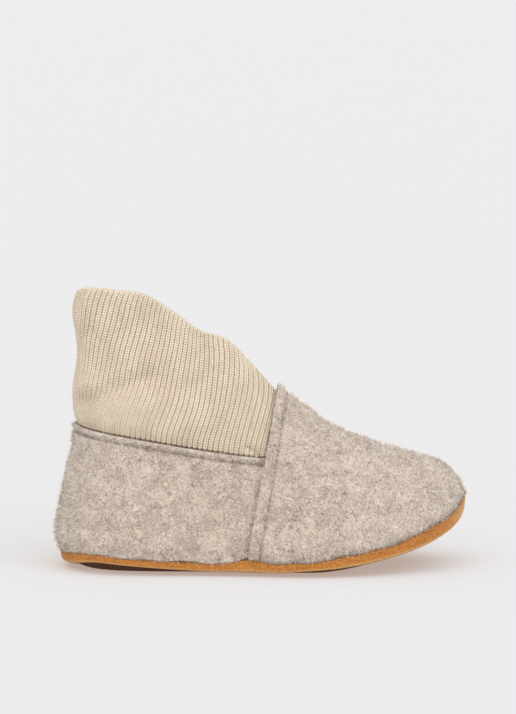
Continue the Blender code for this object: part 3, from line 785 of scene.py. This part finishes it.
def stitch_tree():
    """Geometry Nodes tree that lays a thread on each point, along its run, with its top to its out vector
    and its length, width and height scaled by its fit."""
    tree = bpy.data.node_groups.new("topstitch", "GeometryNodeTree")
    sockets(tree, "INPUT", "Geometry", "Needle Marks")
    sockets(tree, "INPUT", "Float", "Length", "Width", "Height")
    sockets(tree, "INPUT", "Material", "Thread")
    sockets(tree, "OUTPUT", "Geometry", "Stitches")
    given = add(tree, "NodeGroupInput").outputs
    bead = add(tree, "GeometryNodeMeshUVSphere",
               {"Segments": THREAD_SIDES, "Rings": THREAD_RINGS, "Radius": 0.5})
    size = add(tree, "ShaderNodeCombineXYZ",
               {"X": given["Length"], "Y": given["Width"], "Z": given["Height"]})
    bead = add(tree, "GeometryNodeTransform", {"Geometry": bead.outputs["Mesh"], "Scale": size.outputs[0]})

    def vector(name):
        mark = add(tree, "GeometryNodeInputNamedAttribute", {"Name": name}, data_type="FLOAT_VECTOR")
        return mark.outputs["Attribute"]

    turn = add(tree, "FunctionNodeAxesToRotation",
               {"Primary Axis": vector("run"), "Secondary Axis": vector("out")},
               primary_axis="X", secondary_axis="Z")
    laid = add(tree, "GeometryNodeInstanceOnPoints", {
        "Points": given["Needle Marks"],
        "Instance": bead.outputs["Geometry"],
        "Rotation": turn.outputs["Rotation"],
        "Scale": vector("fit"),
    })
    whole = add(tree, "GeometryNodeRealizeInstances", {"Geometry": laid.outputs["Instances"]})
    whole = add(tree, "GeometryNodeSetShadeSmooth", {"Geometry": whole.outputs["Geometry"]})
    whole = add(tree, "GeometryNodeSetMaterial", {"Geometry": whole.outputs[0], "Material": given["Thread"]})
    tree.links.new(whole.outputs["Geometry"], add(tree, "NodeGroupOutput").inputs["Stitches"])
    return tree


def grown(name, mesh, tree, **inputs):
    """Plain mesh piece that a Geometry Nodes tree makes from a mesh, its inputs given by name."""
    piece = placed(name, mesh)
    modifier = piece.modifiers.new(tree.name, "NODES")
    modifier.node_group = tree
    for socket in tree.interface.items_tree:
        if socket.in_out == "INPUT" and socket.name in inputs:
            modifier[socket.identifier] = inputs[socket.name]
    made = bpy.data.meshes.new_from_object(piece.evaluated_get(bpy.context.evaluated_depsgraph_get()))
    made.name = name
    piece.modifiers.clear()
    piece.data = made
    return piece


def sewn_threads(name, thread, material, places, runs, outs, fits):
    """Piece of threads of a size, laid at places along their runs. outs are their ways out of the cloth,
    and fits scale their length, width and height."""
    mesh = bpy.data.meshes.new(name + "_marks")
    mesh.from_pydata(((places + SEAT) * MM).tolist(), [], [])
    for mark, vectors in (("run", unit(runs)), ("out", unit(outs)), ("fit", fits)):
        layer = mesh.attributes.new(mark, "FLOAT_VECTOR", "POINT")
        layer.data.foreach_set("vector", np.asarray(vectors, np.float32).ravel())
    return grown(name, mesh, STITCH_TREE, Length=thread.length * MM, Width=thread.width * MM,
                 Height=thread.height * MM, Thread=material)


def at_runs(line, values, runs):
    """Values of a line's points, taken at runs along it."""
    along = run_length(line)
    return np.stack([np.interp(runs, along, column) for column in values.T], axis=-1)


STITCH_TREE = stitch_tree()
THREAD_MATERIAL = napped_material("oatmeal_thread", THREAD_LOOK)
for name, line, normals in (("vamp_topstitch", *vamp_stitch_line), ("quarter_topstitch", *hem_stitch_line)):
    middles = np.arange(STITCH / 2, run_length(line)[-1], STITCH)
    ways = (line, np.gradient(line, axis=0), normals)
    places, runs, outs = (at_runs(line, values, middles) for values in ways)
    places = places + outs * THREAD_STAND
    stitches = sewn_threads(name, TOPSTITCH, THREAD_MATERIAL, places, runs, outs, np.ones_like(places))
    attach(stitches, "root")


# Nap of the felt
# Loose wool fibres, cream with some brown and grey ones, bent and tapered. They stand off the outside of
# the felt in a short soft fuzz that leaves the stitched grooves bare.

NAP_FIBRES = 42000
NAP_LENGTH = 1.15
NAP_WIDTH = 0.11
NAP_LEAST_TILT = 20.0
NAP_MOST_TILT = 86.0
FIBRE_ROWS = 3
FIBRE_TAPER = 0.75
FIBRE_BEND = -0.30
FIBRE_SCALES = (0.45, 1.3)
STRAY_TONES = (0.32, 0.12)
CLUSTER_FLECKS = (0.55, 1.0, 0.9)
MOST_STRAY = 0.9

# Wool fibres: mostly cream and oatmeal, some brown or grey
WOOL_LOOK = Look(
    patch=4.6, fleck=1.8, fibre=0.42, roughness=0.9, sheen=0.5, grain=0.0,
    dark=(0.650, 0.520, 0.394), light=(0.890, 0.757, 0.618), coats=(
        Coat("tone", 0.48, 0.80, 0.95, (0.99, 0.90, 0.79)),
        Coat("Flecks", 0.0, 0.6, 0.65, (0.52, 0.335, 0.230)),
        Coat("stray", None, None, 1.00, (0.225, 0.142, 0.095)),
    ),
)


def nap_tree():
    """Geometry Nodes tree that plants bent, tapered fibres on a skin, where its nap mark says."""
    tree = bpy.data.node_groups.new("nap", "GeometryNodeTree")
    sockets(tree, "INPUT", "Geometry", "Skin")
    sockets(tree, "INPUT", "Float", "Density", "Length", "Width")
    sockets(tree, "INPUT", "Int", "Seed")
    sockets(tree, "INPUT", "Material", "Wool")
    sockets(tree, "OUTPUT", "Geometry", "Nap")
    given = add(tree, "NodeGroupInput").outputs

    mark = add(tree, "GeometryNodeInputNamedAttribute", {"Name": "nap"}, data_type="FLOAT")
    density = maths(tree, "MULTIPLY", mark.outputs["Attribute"], given["Density"])
    roots = add(tree, "GeometryNodeDistributePointsOnFaces",
                {"Mesh": given["Skin"], "Density": density, "Seed": given["Seed"]})

    strip = add(tree, "GeometryNodeMeshGrid",
                {"Size X": 1.0, "Size Y": 1.0, "Vertices X": 2, "Vertices Y": FIBRE_ROWS})
    flat = add(tree, "ShaderNodeSeparateXYZ", {0: add(tree, "GeometryNodeInputPosition").outputs[0]})
    up = maths(tree, "ADD", flat.outputs["Y"], 0.5)
    taper = maths(tree, "SUBTRACT", 1.0, maths(tree, "MULTIPLY", up, FIBRE_TAPER))
    wide = maths(tree, "MULTIPLY", maths(tree, "MULTIPLY", flat.outputs["X"], taper), given["Width"])
    tall = maths(tree, "MULTIPLY", up, given["Length"])
    bend = maths(tree, "MULTIPLY", maths(tree, "MULTIPLY", up, tall), FIBRE_BEND)
    form = add(tree, "ShaderNodeCombineXYZ", {"X": wide, "Y": bend, "Z": tall})
    fibre = add(tree, "GeometryNodeSetPosition",
                {"Geometry": strip.outputs["Mesh"], "Position": form.outputs[0]})

    def chance(low, high, shift):
        seed = maths(tree, "ADD", given["Seed"], shift)
        return add(tree, "FunctionNodeRandomValue", {2: low, 3: high, 8: seed}, data_type="FLOAT").outputs[1]

    tilt = chance(radians(NAP_LEAST_TILT), radians(NAP_MOST_TILT), 1)
    lean = add(tree, "ShaderNodeCombineXYZ", {"X": tilt, "Z": chance(0.0, tau, 2)})
    lean = add(tree, "FunctionNodeEulerToRotation", {"Euler": lean.outputs[0]})
    turn = add(tree, "FunctionNodeRotateRotation",
               {"Rotation": roots.outputs["Rotation"], "Rotate By": lean.outputs[0]}, rotation_space="LOCAL")
    planted = add(tree, "GeometryNodeInstanceOnPoints", {
        "Points": roots.outputs["Points"],
        "Instance": fibre.outputs["Geometry"],
        "Rotation": turn.outputs[0],
        "Scale": chance(*FIBRE_SCALES, 3),
    })
    toned = add(tree, "GeometryNodeStoreNamedAttribute",
                {"Geometry": planted.outputs["Instances"], "Name": "tone", "Value": chance(0.0, 1.0, 4)},
                data_type="FLOAT", domain="INSTANCE")
    whole = add(tree, "GeometryNodeRealizeInstances", {"Geometry": toned.outputs["Geometry"]})
    whole = add(tree, "GeometryNodeSetMaterial", {"Geometry": whole.outputs[0], "Material": given["Wool"]})
    tree.links.new(whole.outputs["Geometry"], add(tree, "NodeGroupOutput").inputs["Nap"])
    return tree


def stray_fibres(tree, masks):
    """Adds the mask of the dark fibres: some anywhere, more together in the felt's flecks."""
    strays = spread(tree, mark_of(tree, "tone"), *STRAY_TONES)
    clusters = spread(tree, masks["Flecks"], *CLUSTER_FLECKS)
    masks["stray"] = maths(tree, "MINIMUM", maths(tree, "ADD", strays, clusters), MOST_STRAY)


def napped_area(piece):
    """Area of a piece's faces that carry a nap, in square metres."""
    marks = np.zeros(len(piece.data.vertices), np.float32)
    piece.data.attributes["nap"].data.foreach_get("value", marks)
    return sum(face.area * marks[list(face.vertices)].mean() for face in piece.data.polygons)


def nap_piece(name, skin_piece, fibres, length, width, wool, seed):
    """Piece of a number of fibres, planted where a piece is marked for a nap."""
    return grown(name, skin_piece.data, NAP_TREE, Density=fibres / napped_area(skin_piece),
                 Length=length * MM, Width=width * MM, Wool=wool, Seed=seed)


NAP_TREE = nap_tree()
WOOL_MATERIAL = napped_material("wool_fibre", WOOL_LOOK, stray_fibres)
for name, skin_piece, seed in (("quarter_nap", quarter, 0), ("vamp_nap", vamp, 10)):
    nap = nap_piece(name, skin_piece, NAP_FIBRES, NAP_LENGTH, NAP_WIDTH, WOOL_MATERIAL, seed)
    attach(nap, "root")


# Rib-knit cuff
# A doubled tube of fine ecru rib knit, folded over at its rim, which slopes from the back down to the
# throat. It slumps a little at the back, and its margin is sewn inside the felt.

KNIT = 2.6
CUFF_HEIGHT = 85.7
Rim = namedtuple("Rim", "share x half height rise")
CUFF_RIM = (
    Rim(0.00, 5.6, 0.0, 0.988, 0.0),
    Rim(0.20, 8.5, 7.4, 0.983, 1.8),
    Rim(0.37, 17.0, 11.4, 0.970, 2.4),
    Rim(0.49, 26.0, 12.9, 0.953, 2.7),
    Rim(0.60, 34.5, 13.5, 0.892, 3.0),
    Rim(0.71, 43.5, 13.2, 0.822, 3.1),
    Rim(0.82, 52.5, 11.4, 0.791, 2.7),
    Rim(0.92, 60.3, 7.6, 0.710, 1.3),
    Rim(0.97, 64.0, 4.4, 0.665, 0.5),
    Rim(1.00, 66.8, 0.0, 0.632, 0.0),
)
Fold = namedtuple("Fold", "share back side")
CUFF_FOLDS = (
    Fold(0.00, 0.0, 0.0),
    Fold(0.04, 0.7, 0.8),
    Fold(0.10, 1.5, 1.7),
    Fold(0.24, 2.0, 2.5),
    Fold(0.40, 1.1, 2.2),
    Fold(0.55, 0.4, 1.7),
    Fold(0.70, 0.9, 1.3),
    Fold(0.85, 1.8, 1.0),
    Fold(0.95, 1.4, 0.6),
    Fold(1.00, 0.4, 0.1),
)
BACK_FOLD_REACH = 0.45
CUFF_TUCK = 4.0
CUFF_CLEAR = 0.6
FRONT_BLEND = 0.62
FRONT_STIFF = 0.93
FRONT_CLEAR = 0.90
CUFF_ROWS = 44
RIM_STEPS = 8
RIM_REACH = 1.95
MARGIN_ROUNDS = (1.4, 2.0)
MARGIN_UPS = (-1.0, -0.5)

# Ribs all round, and how far they have crept round the cuff from an upright line towards the outer front,
# low and high on the cuff, at its lip and at its rim, by the share round it from the outer side's front
# over the back to the inner side's front
RIBS = 86
RIB_DEPTH = 0.32
RIB_COLUMNS = (0.0, 0.25, 0.50, 0.75)
RIB_POWER = 0.7
GIRTH_SAMPLES = 801
CREEP_UPS = np.array([-0.30, 0.00, 0.30, 0.60, 0.85, 1.00, 1.15])
Creep = namedtuple("Creep", "round low high lip rim")
RIB_CREEP = (
    Creep(0.00, 0.0, 0.0, 0.0, 0.0),
    Creep(0.03, 0.1, -0.6, -2.3, -3.9),
    Creep(0.06, 0.1, -1.3, -4.0, -6.8),
    Creep(0.14, 1.3, -0.8, -3.8, -7.2),
    Creep(0.23, 2.2, 0.9, -0.4, -2.6),
    Creep(0.33, 3.1, 2.4, 2.6, 1.0),
    Creep(0.41, 3.9, 3.0, 4.3, 3.6),
    Creep(0.50, 3.6, 2.9, 4.6, 4.2),
    Creep(0.65, 2.0, 2.0, 3.5, 3.5),
    Creep(0.85, 0.6, 0.5, 1.1, 1.0),
    Creep(1.00, 0.0, 0.0, 0.0, 0.0),
)
CREEP_WEIGHTS = {
    "low": (-1, 0, 1, 0, 0, 0, 0),
    "high": (0, 0, 0, 1, 0, 0, 0),
    "lip": (0, 0, 0, 0, 1, 0, -1),
    "rim": (0, 0, 0, 0, 0, 1, 2),
}
PLAIN_BACK = 0.13
PLAIN_FADE = 0.11
CROWN_FADE = 2.6
CROWN_RIBS = 0.2
STRETCHED_FLAT = 0.75
INSIDE_RIBS = 0.35
HEM_SHADE = 0.9
# how much painted shade darkens the knit at the hem
HEM_PAINTED_SHADE = 2.0

# Loops of the knit: two slanting legs a stitch, set on the ribs; where the knit is stretched over the heel
# they stand evenly and hide the ribs
COURSE = 0.80
LOOP_START = 1.0
LOOP_END = 1.1
LEG = Thread(1.25, 0.68, 0.44)
LEG_SLANT = radians(24.0)
LEG_OFFSET = 0.21
STRETCHED_OFFSET = 0.25
STRETCH_X = 13.0
STRETCH_Z = 49.0
STRETCH_REACH_X = 17.0
STRETCH_REACH_Z = 9.0
RIB_MEAN = 1.6
FUZZ_FIBRES = 15000
FUZZ_LENGTH = 0.9
FUZZ_WIDTH = 0.06
FUZZ_SEED = 50
CUFF_CREASES = (
    Crease(8.0, 52.5, 27.0, 61.0, 2.6, -0.9),
    Crease(9.0, 57.5, 28.0, 65.5, 3.5, 0.7),
    Crease(9.0, 47.0, 30.0, 55.0, 4.5, 0.5),
    Crease(58.0, 39.2, 62.4, 35.8, 0.75, -0.85),
    Crease(57.4, 37.7, 61.4, 34.7, 0.80, 0.30),
)

LOOP_SLANT = 1.1
LOOP_BUMP = 0.7
SPLIT_BUMP = 0.5
SPLIT_WIDTH = 0.15

# Ecru rib knit: each rib a column of slanting loops; painted shade makes it brown in the grooves between the
# ribs, a little darker between the loops, and dark along the hem
KNIT_LOOK = Look(
    patch=9.0, fleck=1.8, fibre=0.30, roughness=0.95, sheen=0.2, grain=0.22,
    dark=(0.69, 0.57, 0.42), light=(0.775, 0.655, 0.50), coats=(
        # painted shade in the grooves between the ribs
        Coat("ridge", 0.75, 0.05, 0.75, (0.46, 0.35, 0.225)),
        # painted shade in the hollows between the loops
        Coat("loop", 0.5, 0.0, 0.20, (0.48, 0.37, 0.25)),
        Coat("Fibres", None, None, 0.25, (0.82, 0.73, 0.59)),
        # painted shade along the hem
        Coat("ridge", 0.0, -0.8, 0.85, (0.12, 0.08, 0.05)),
    ),
)

# Spun ecru yarn of the loops, a little uneven in colour
YARN_LOOK = Look(
    patch=7.0, fleck=1.4, fibre=0.45, roughness=0.95, sheen=0.1, grain=0.08,
    dark=(0.715, 0.595, 0.445), light=(0.80, 0.685, 0.535), coats=(
        Coat("Flecks", 0.0, 1.0, 0.35, (0.56, 0.43, 0.30)),
        Coat("Fibres", 0.5, 1.0, 0.50, (0.90, 0.81, 0.67)),
    ),
)


def round_curve(table, knot, name, sign, at):
    """Smooth curve through a table's column, mirrored past both ends of its knots from 0 to 1."""
    knots = [getattr(row, knot) for row in table]
    values = mirrored([getattr(row, name) for row in table], sign)
    return curve(np.array([-knots[1], *knots, 2 - knots[-2]]), values, at)


def rim_point(around):
    """Place on the cuff's rim, in the middle plane's frame; the outer side rises more at its front."""
    share = np.abs(around)
    x, height, rise = (round_curve(CUFF_RIM, "share", name, 1, share) for name in ("x", "height", "rise"))
    half = round_curve(CUFF_RIM, "share", "half", -1, share)
    height = height * CUFF_HEIGHT
    return x, half, np.where(around < 0.0, height + rise, height)


def fold_out(share, height):
    """How far the cuff stands out of a straight wall, at a share round it and up it."""
    knots = np.array([row.share for row in CUFF_FOLDS])
    back = curve(knots, np.array([row.back for row in CUFF_FOLDS]), height)
    side = curve(knots, np.array([row.side for row in CUFF_FOLDS]), height)
    return back + (side - back) * smooth(share / BACK_FOLD_REACH)


def sewn_place(around, up):
    """Place and share on the last where the cuff would lie if it were sewn down all the way up."""
    share = np.abs(around)
    station = THROAT * np.minimum(share, 1.0)
    top = edge_share(station) + wall_share(CUFF_CLEAR, station)
    station = station + np.maximum(0.0, share - 1.0) * CUFF_TUCK / SIDE_LENGTH
    station = station - CUFF_CLEAR / SIDE_LENGTH * smooth((share - FRONT_CLEAR) / (1.0 - FRONT_CLEAR))
    margin = top + wall_share(CUFF_TUCK, THROAT / 2) * up
    return np.copysign(station, around), np.where(up <= 0.0, margin, top + (1.0 - top) * up)


def under_felt(place, share):
    """Point just inside the felt, where the cuff's margin lies."""
    return last_point(place, share) - skin_normal(last_point, place, share) * (FELT_EDGE + GAP)


def front_arch(side, up):
    """How far the cuff's front, sewn under the vamp's edge, arches out of a straight line."""
    base, sewn, rim = (under_felt(*sewn_place(side, height)) for height in (0.0 * up, up, 0.0 * up + 1.0))
    return sewn - base - (rim - base) * up[..., None]


def cuff_point(around, up):
    """Point of the cuff: around from the back (0) to the vamp (1) on either side, up from the felt (0)
    to the rim (1). Past 1 around, or under 0 up, it is the margin sewn inside the felt."""
    side = np.copysign(1.0, around)
    share = np.abs(around)
    base = under_felt(*sewn_place(around, 0.0 * up))
    rim_x, rim_half, rim_z = rim_point(around)
    rim = np.stack([rim_x, side * rim_half + swing(rim_x), rim_z], axis=-1)
    out_x, out_y = outward(THROAT * share)
    sewn = smooth((share - FRONT_BLEND) / (1.0 - FRONT_BLEND))
    out = np.stack([out_x, side * out_y, 0.0 * out_x], axis=-1)
    fold = (fold_out(share, up) * (1.0 - sewn))[..., None] * out
    free = base + (rim - base) * up[..., None] + fold + sewn[..., None] * front_arch(side, up)
    margin = under_felt(*sewn_place(around, up))
    return np.where(((up <= 0.0) | (share >= 1.0))[..., None], margin, free)


def cuff_inside(around, up):
    """Point of the cuff's inner face, a knit wall in from its outer face."""
    share = np.abs(around)
    margin = np.where(up <= 0.0, around, np.copysign(np.maximum(1.0, share), around))
    sewn = skin_normal(last_point, *sewn_place(margin, up))
    free = skin_normal(cuff_point, around, up)
    stiff = smooth((share - FRONT_BLEND) / (FRONT_STIFF - FRONT_BLEND))
    stiff = np.where(up <= 0.0, 1.0, stiff)[..., None]
    return cuff_point(around, up) - unit(free + (sewn - free) * stiff) * KNIT


def knit_loops(tree, masks):
    """Adds the mask of the knit's slanting loops, which also paints shade in the hollows between them, and
    their bump.
    """
    rib = maths(tree, "FRACT", mark_of(tree, "rib"))
    leg = maths(tree, "ABSOLUTE", maths(tree, "SUBTRACT", rib, 0.5))
    slant = maths(tree, "ADD", mark_of(tree, "course"), maths(tree, "MULTIPLY", leg, LOOP_SLANT))
    wave = maths(tree, "SINE", maths(tree, "MULTIPLY", slant, tau))
    masks["loop"] = maths(tree, "MULTIPLY_ADD", wave, 0.5, 0.5)
    split = maths(tree, "MULTIPLY", spread(tree, leg, 0.0, SPLIT_WIDTH), SPLIT_BUMP)
    masks["Bump"] = maths(tree, "ADD", maths(tree, "MULTIPLY", masks["loop"], LOOP_BUMP), split)


def rib_rounds(phases, up):
    """Where ribs lie round the cuff at a height: evenly spaced, then crept towards the outer front."""
    measure = np.linspace(-1.0, 1.0, GIRTH_SAMPLES)
    lengths = run_length(cuff_point(measure, up + 0.0 * measure))
    share = phases / RIBS
    creep = 0.0
    for name, weights in CREEP_WEIGHTS.items():
        amount = round_curve(RIB_CREEP, "round", name, -1, share)
        creep = creep + amount * curve(CREEP_UPS, np.array(weights), up)
    return np.interp(share * lengths[-1] - creep, lengths, measure)


phases = np.append((np.arange(RIBS)[:, None] + np.array(RIB_COLUMNS)).ravel(), RIBS)
ups = np.concatenate([MARGIN_UPS, np.linspace(0.0, 1.0, CUFF_ROWS)])
margin_rounds = np.array(MARGIN_ROUNDS)
around = []
for height in ups:
    rounds = rib_rounds(phases, max(0.0, height))
    around.append(np.concatenate([-margin_rounds[::-1], rounds, margin_rounds]))
around = np.stack(around, axis=1)
phases = np.concatenate([1.0 - margin_rounds[::-1], phases, RIBS - 1.0 + margin_rounds])
up = np.broadcast_to(ups, around.shape)
outer = cuff_point(around, up)
inner = cuff_inside(around, up)
reach = unit(outer[:, -1] - outer[:, -2]) * RIM_REACH
cuff_points = wall(outer, inner, RIM_STEPS, reach)
cuff_normal = unit(np.cross(np.gradient(cuff_points, axis=1), np.gradient(cuff_points, axis=0)))
steps = np.linalg.norm(np.diff(cuff_points, axis=1), axis=-1)
climb = np.concatenate([np.zeros((len(phases), 1)), np.cumsum(steps, axis=1)], axis=1)
crown = len(ups) + RIM_STEPS // 2
to_crown = np.abs(climb - climb[:, crown:crown + 1])
from_hem = climb - climb[:, len(MARGIN_UPS):len(MARGIN_UPS) + 1]
stretched = np.exp(-((cuff_points[..., 0] - STRETCH_X) / STRETCH_REACH_X) ** 2
                   - ((cuff_points[..., 2] - STRETCH_Z) / STRETCH_REACH_Z) ** 2)
round_rows = np.concatenate([around, np.repeat(around[:, -1:], RIM_STEPS, axis=1), around[:, ::-1]], axis=1)
stretched = np.maximum(stretched, 1.0 - smooth((np.abs(round_rows) - PLAIN_BACK) / PLAIN_FADE))
ridge = (np.abs(np.sin(pi * phases)) ** RIB_POWER)[:, None]
crowned = CROWN_RIBS + (1.0 - CROWN_RIBS) * smooth(to_crown / CROWN_FADE)
ridge = 1.0 - (1.0 - ridge) * (1.0 - STRETCHED_FLAT * stretched) * crowned
ridge[:, crown:] = 1.0 - (1.0 - ridge[:, crown:]) * INSIDE_RIBS
facing = np.where(cuff_normal[..., 1] * cuff_points[..., 1] > 0.0, 1.0, -1.0)
moved = creased(CUFF_CREASES, cuff_points) * facing
cuff_points = cuff_points + cuff_normal * (moved - RIB_DEPTH * (1.0 - ridge))[..., None]
# painted shade where the knit goes down behind the felt's hem
ridge = ridge - HEM_PAINTED_SHADE * (1.0 - smooth(np.abs(from_hem) / HEM_SHADE))
cuff_rows = np.arange(cuff_points.shape[1])
outside = cuff_rows < crown
fuzzy = outside & (cuff_rows > len(MARGIN_UPS)) & (np.abs(phases - RIBS / 2) <= RIBS / 2)[:, None]
knit = napped_material("ecru_knit", KNIT_LOOK, knit_loops)
cuff = lattice("cuff_knit", cuff_points, knit, cap=True, course=climb / COURSE, rib=phases[:, None],
               ridge=ridge, nap=fuzzy)
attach(cuff, "root")
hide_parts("cuff")

ridge_columns = len(margin_rounds) + RIB_COLUMNS.index(0.50) + len(RIB_COLUMNS) * np.arange(RIBS)
ridge_rows = np.flatnonzero(outside)[len(MARGIN_UPS):]
rib_lines = cuff_points[np.ix_(ridge_columns, ridge_rows)]
rib_outs = cuff_normal[np.ix_(ridge_columns, ridge_rows)]
rib_widths = np.linalg.norm(np.gradient(rib_lines, axis=0), axis=-1)
rib_stretch = stretched[np.ix_(ridge_columns, ridge_rows)]
YARN_MATERIAL = napped_material("ecru_yarn", YARN_LOOK)
for side, ribs in (("outer", range(RIBS // 2)), ("inner", range(RIBS // 2, RIBS))):
    legs = []
    for rib in ribs:
        line = rib_lines[rib]
        middles = np.arange(LOOP_START, run_length(line)[-1] - LOOP_END, COURSE)
        ways = (line, unit(np.gradient(line, axis=0)), rib_outs[rib])
        place, run, out = (at_runs(line, values, middles) for values in ways)
        spans = np.stack([rib_widths[rib], rib_stretch[rib]], axis=-1)
        width, stretch = at_runs(line, spans, middles).T[..., None]
        aside = unit(np.cross(out, run))
        offset = width * (LEG_OFFSET + (STRETCHED_OFFSET - LEG_OFFSET) * stretch)
        fit = np.concatenate([np.ones_like(width), width / RIB_MEAN, np.ones_like(width)], axis=-1)
        for hand in (-1.0, 1.0):
            slanted = run * cos(LEG_SLANT) + hand * aside * sin(LEG_SLANT)
            legs.append((place + hand * offset * aside, slanted, out, fit))
    marks = (np.concatenate(values) for values in zip(*legs))
    loops = sewn_threads("cuff_loops_" + side, LEG, YARN_MATERIAL, *marks)
    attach(loops, "root")

fuzz = nap_piece("cuff_fuzz", cuff, FUZZ_FIBRES, FUZZ_LENGTH, FUZZ_WIDTH, YARN_MATERIAL, FUZZ_SEED)
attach(fuzz, "root")


# Floor, light and camera
# A pale shooting table that glows a little in a warm tone, under broad soft light from above and in front,
# with the camera level with the slipper's side, as the photograph was taken.

IMAGE_WIDTH = 516
PIXEL = 0.31
CAMERA_DISTANCE = 1.1
CAMERA_HEIGHT = radians(6.0)
CAMERA_TARGET = np.array([-0.0009, 0.0, 0.0651])
SENSOR = 36.0
FLOOR_SIZE = 120.0
# painted light: the warm glow lifts and warms the shadows, and the cooler colour keeps the lit floor neutral
FLOOR_COLOUR = (0.341, 0.432, 0.484)
FLOOR_GLOW = (0.440, 0.335, 0.280)
FLOOR_ROUGHNESS = 0.9
FLOOR_SPECULAR = 0.1
SKY_COLOUR = (0.83, 0.83, 0.845)
SKY_STRENGTH = 0.80
Sun = namedtuple("Sun", "name strength angle turn tilt")
SUNS = (
    Sun("key", 1.90, 80.0, 12.0, 42.0),
    Sun("front", 0.35, 80.0, -35.0, 65.0),
)

half = FLOOR_SIZE / 2
corners = [(-half, -half, 0.0), (half, -half, 0.0), (half, half, 0.0), (-half, half, 0.0)]
floor_mesh = bpy.data.meshes.new("floor")
floor_mesh.from_pydata(corners, [], [(0, 1, 2, 3)])
floor = placed("floor", floor_mesh)
floor_material = bpy.data.materials.new("pale_floor")
floor_material.use_nodes = True
floor_shader = floor_material.node_tree.nodes["Principled BSDF"]
floor_shader.inputs["Base Color"].default_value = (*FLOOR_COLOUR, 1.0)
floor_shader.inputs["Roughness"].default_value = FLOOR_ROUGHNESS
floor_shader.inputs["Emission Color"].default_value = (*FLOOR_GLOW, 1.0)
floor_shader.inputs["Emission Strength"].default_value = 1.0
floor_shader.inputs["Specular IOR Level"].default_value = FLOOR_SPECULAR
floor_mesh.materials.append(floor_material)

world = bpy.data.worlds.new("studio")
world.use_nodes = True
sky = world.node_tree.nodes["Background"]
sky.inputs["Color"].default_value = (*SKY_COLOUR, 1.0)
sky.inputs["Strength"].default_value = SKY_STRENGTH
bpy.context.scene.world = world
for sun in SUNS:
    lamp = bpy.data.lights.new(sun.name, "SUN")
    lamp.energy = sun.strength
    lamp.angle = radians(sun.angle)
    light = placed(sun.name, lamp)
    light.rotation_euler = (radians(sun.tilt), 0.0, radians(sun.turn))

camera_data = bpy.data.cameras.new("camera")
camera_data.sensor_fit = "HORIZONTAL"
camera_data.sensor_width = SENSOR
camera_data.lens = SENSOR * CAMERA_DISTANCE / (IMAGE_WIDTH * PIXEL * MM)
camera_data.clip_end = FLOOR_SIZE
camera = placed("camera", camera_data)
back = np.array([0.0, -cos(CAMERA_HEIGHT), sin(CAMERA_HEIGHT)])
camera.location = CAMERA_TARGET + back * CAMERA_DISTANCE
camera.rotation_euler = (pi / 2 - CAMERA_HEIGHT, 0.0, 0.0)
bpy.context.scene.camera = camera
bpy.context.scene.view_settings.view_transform = "Standard"
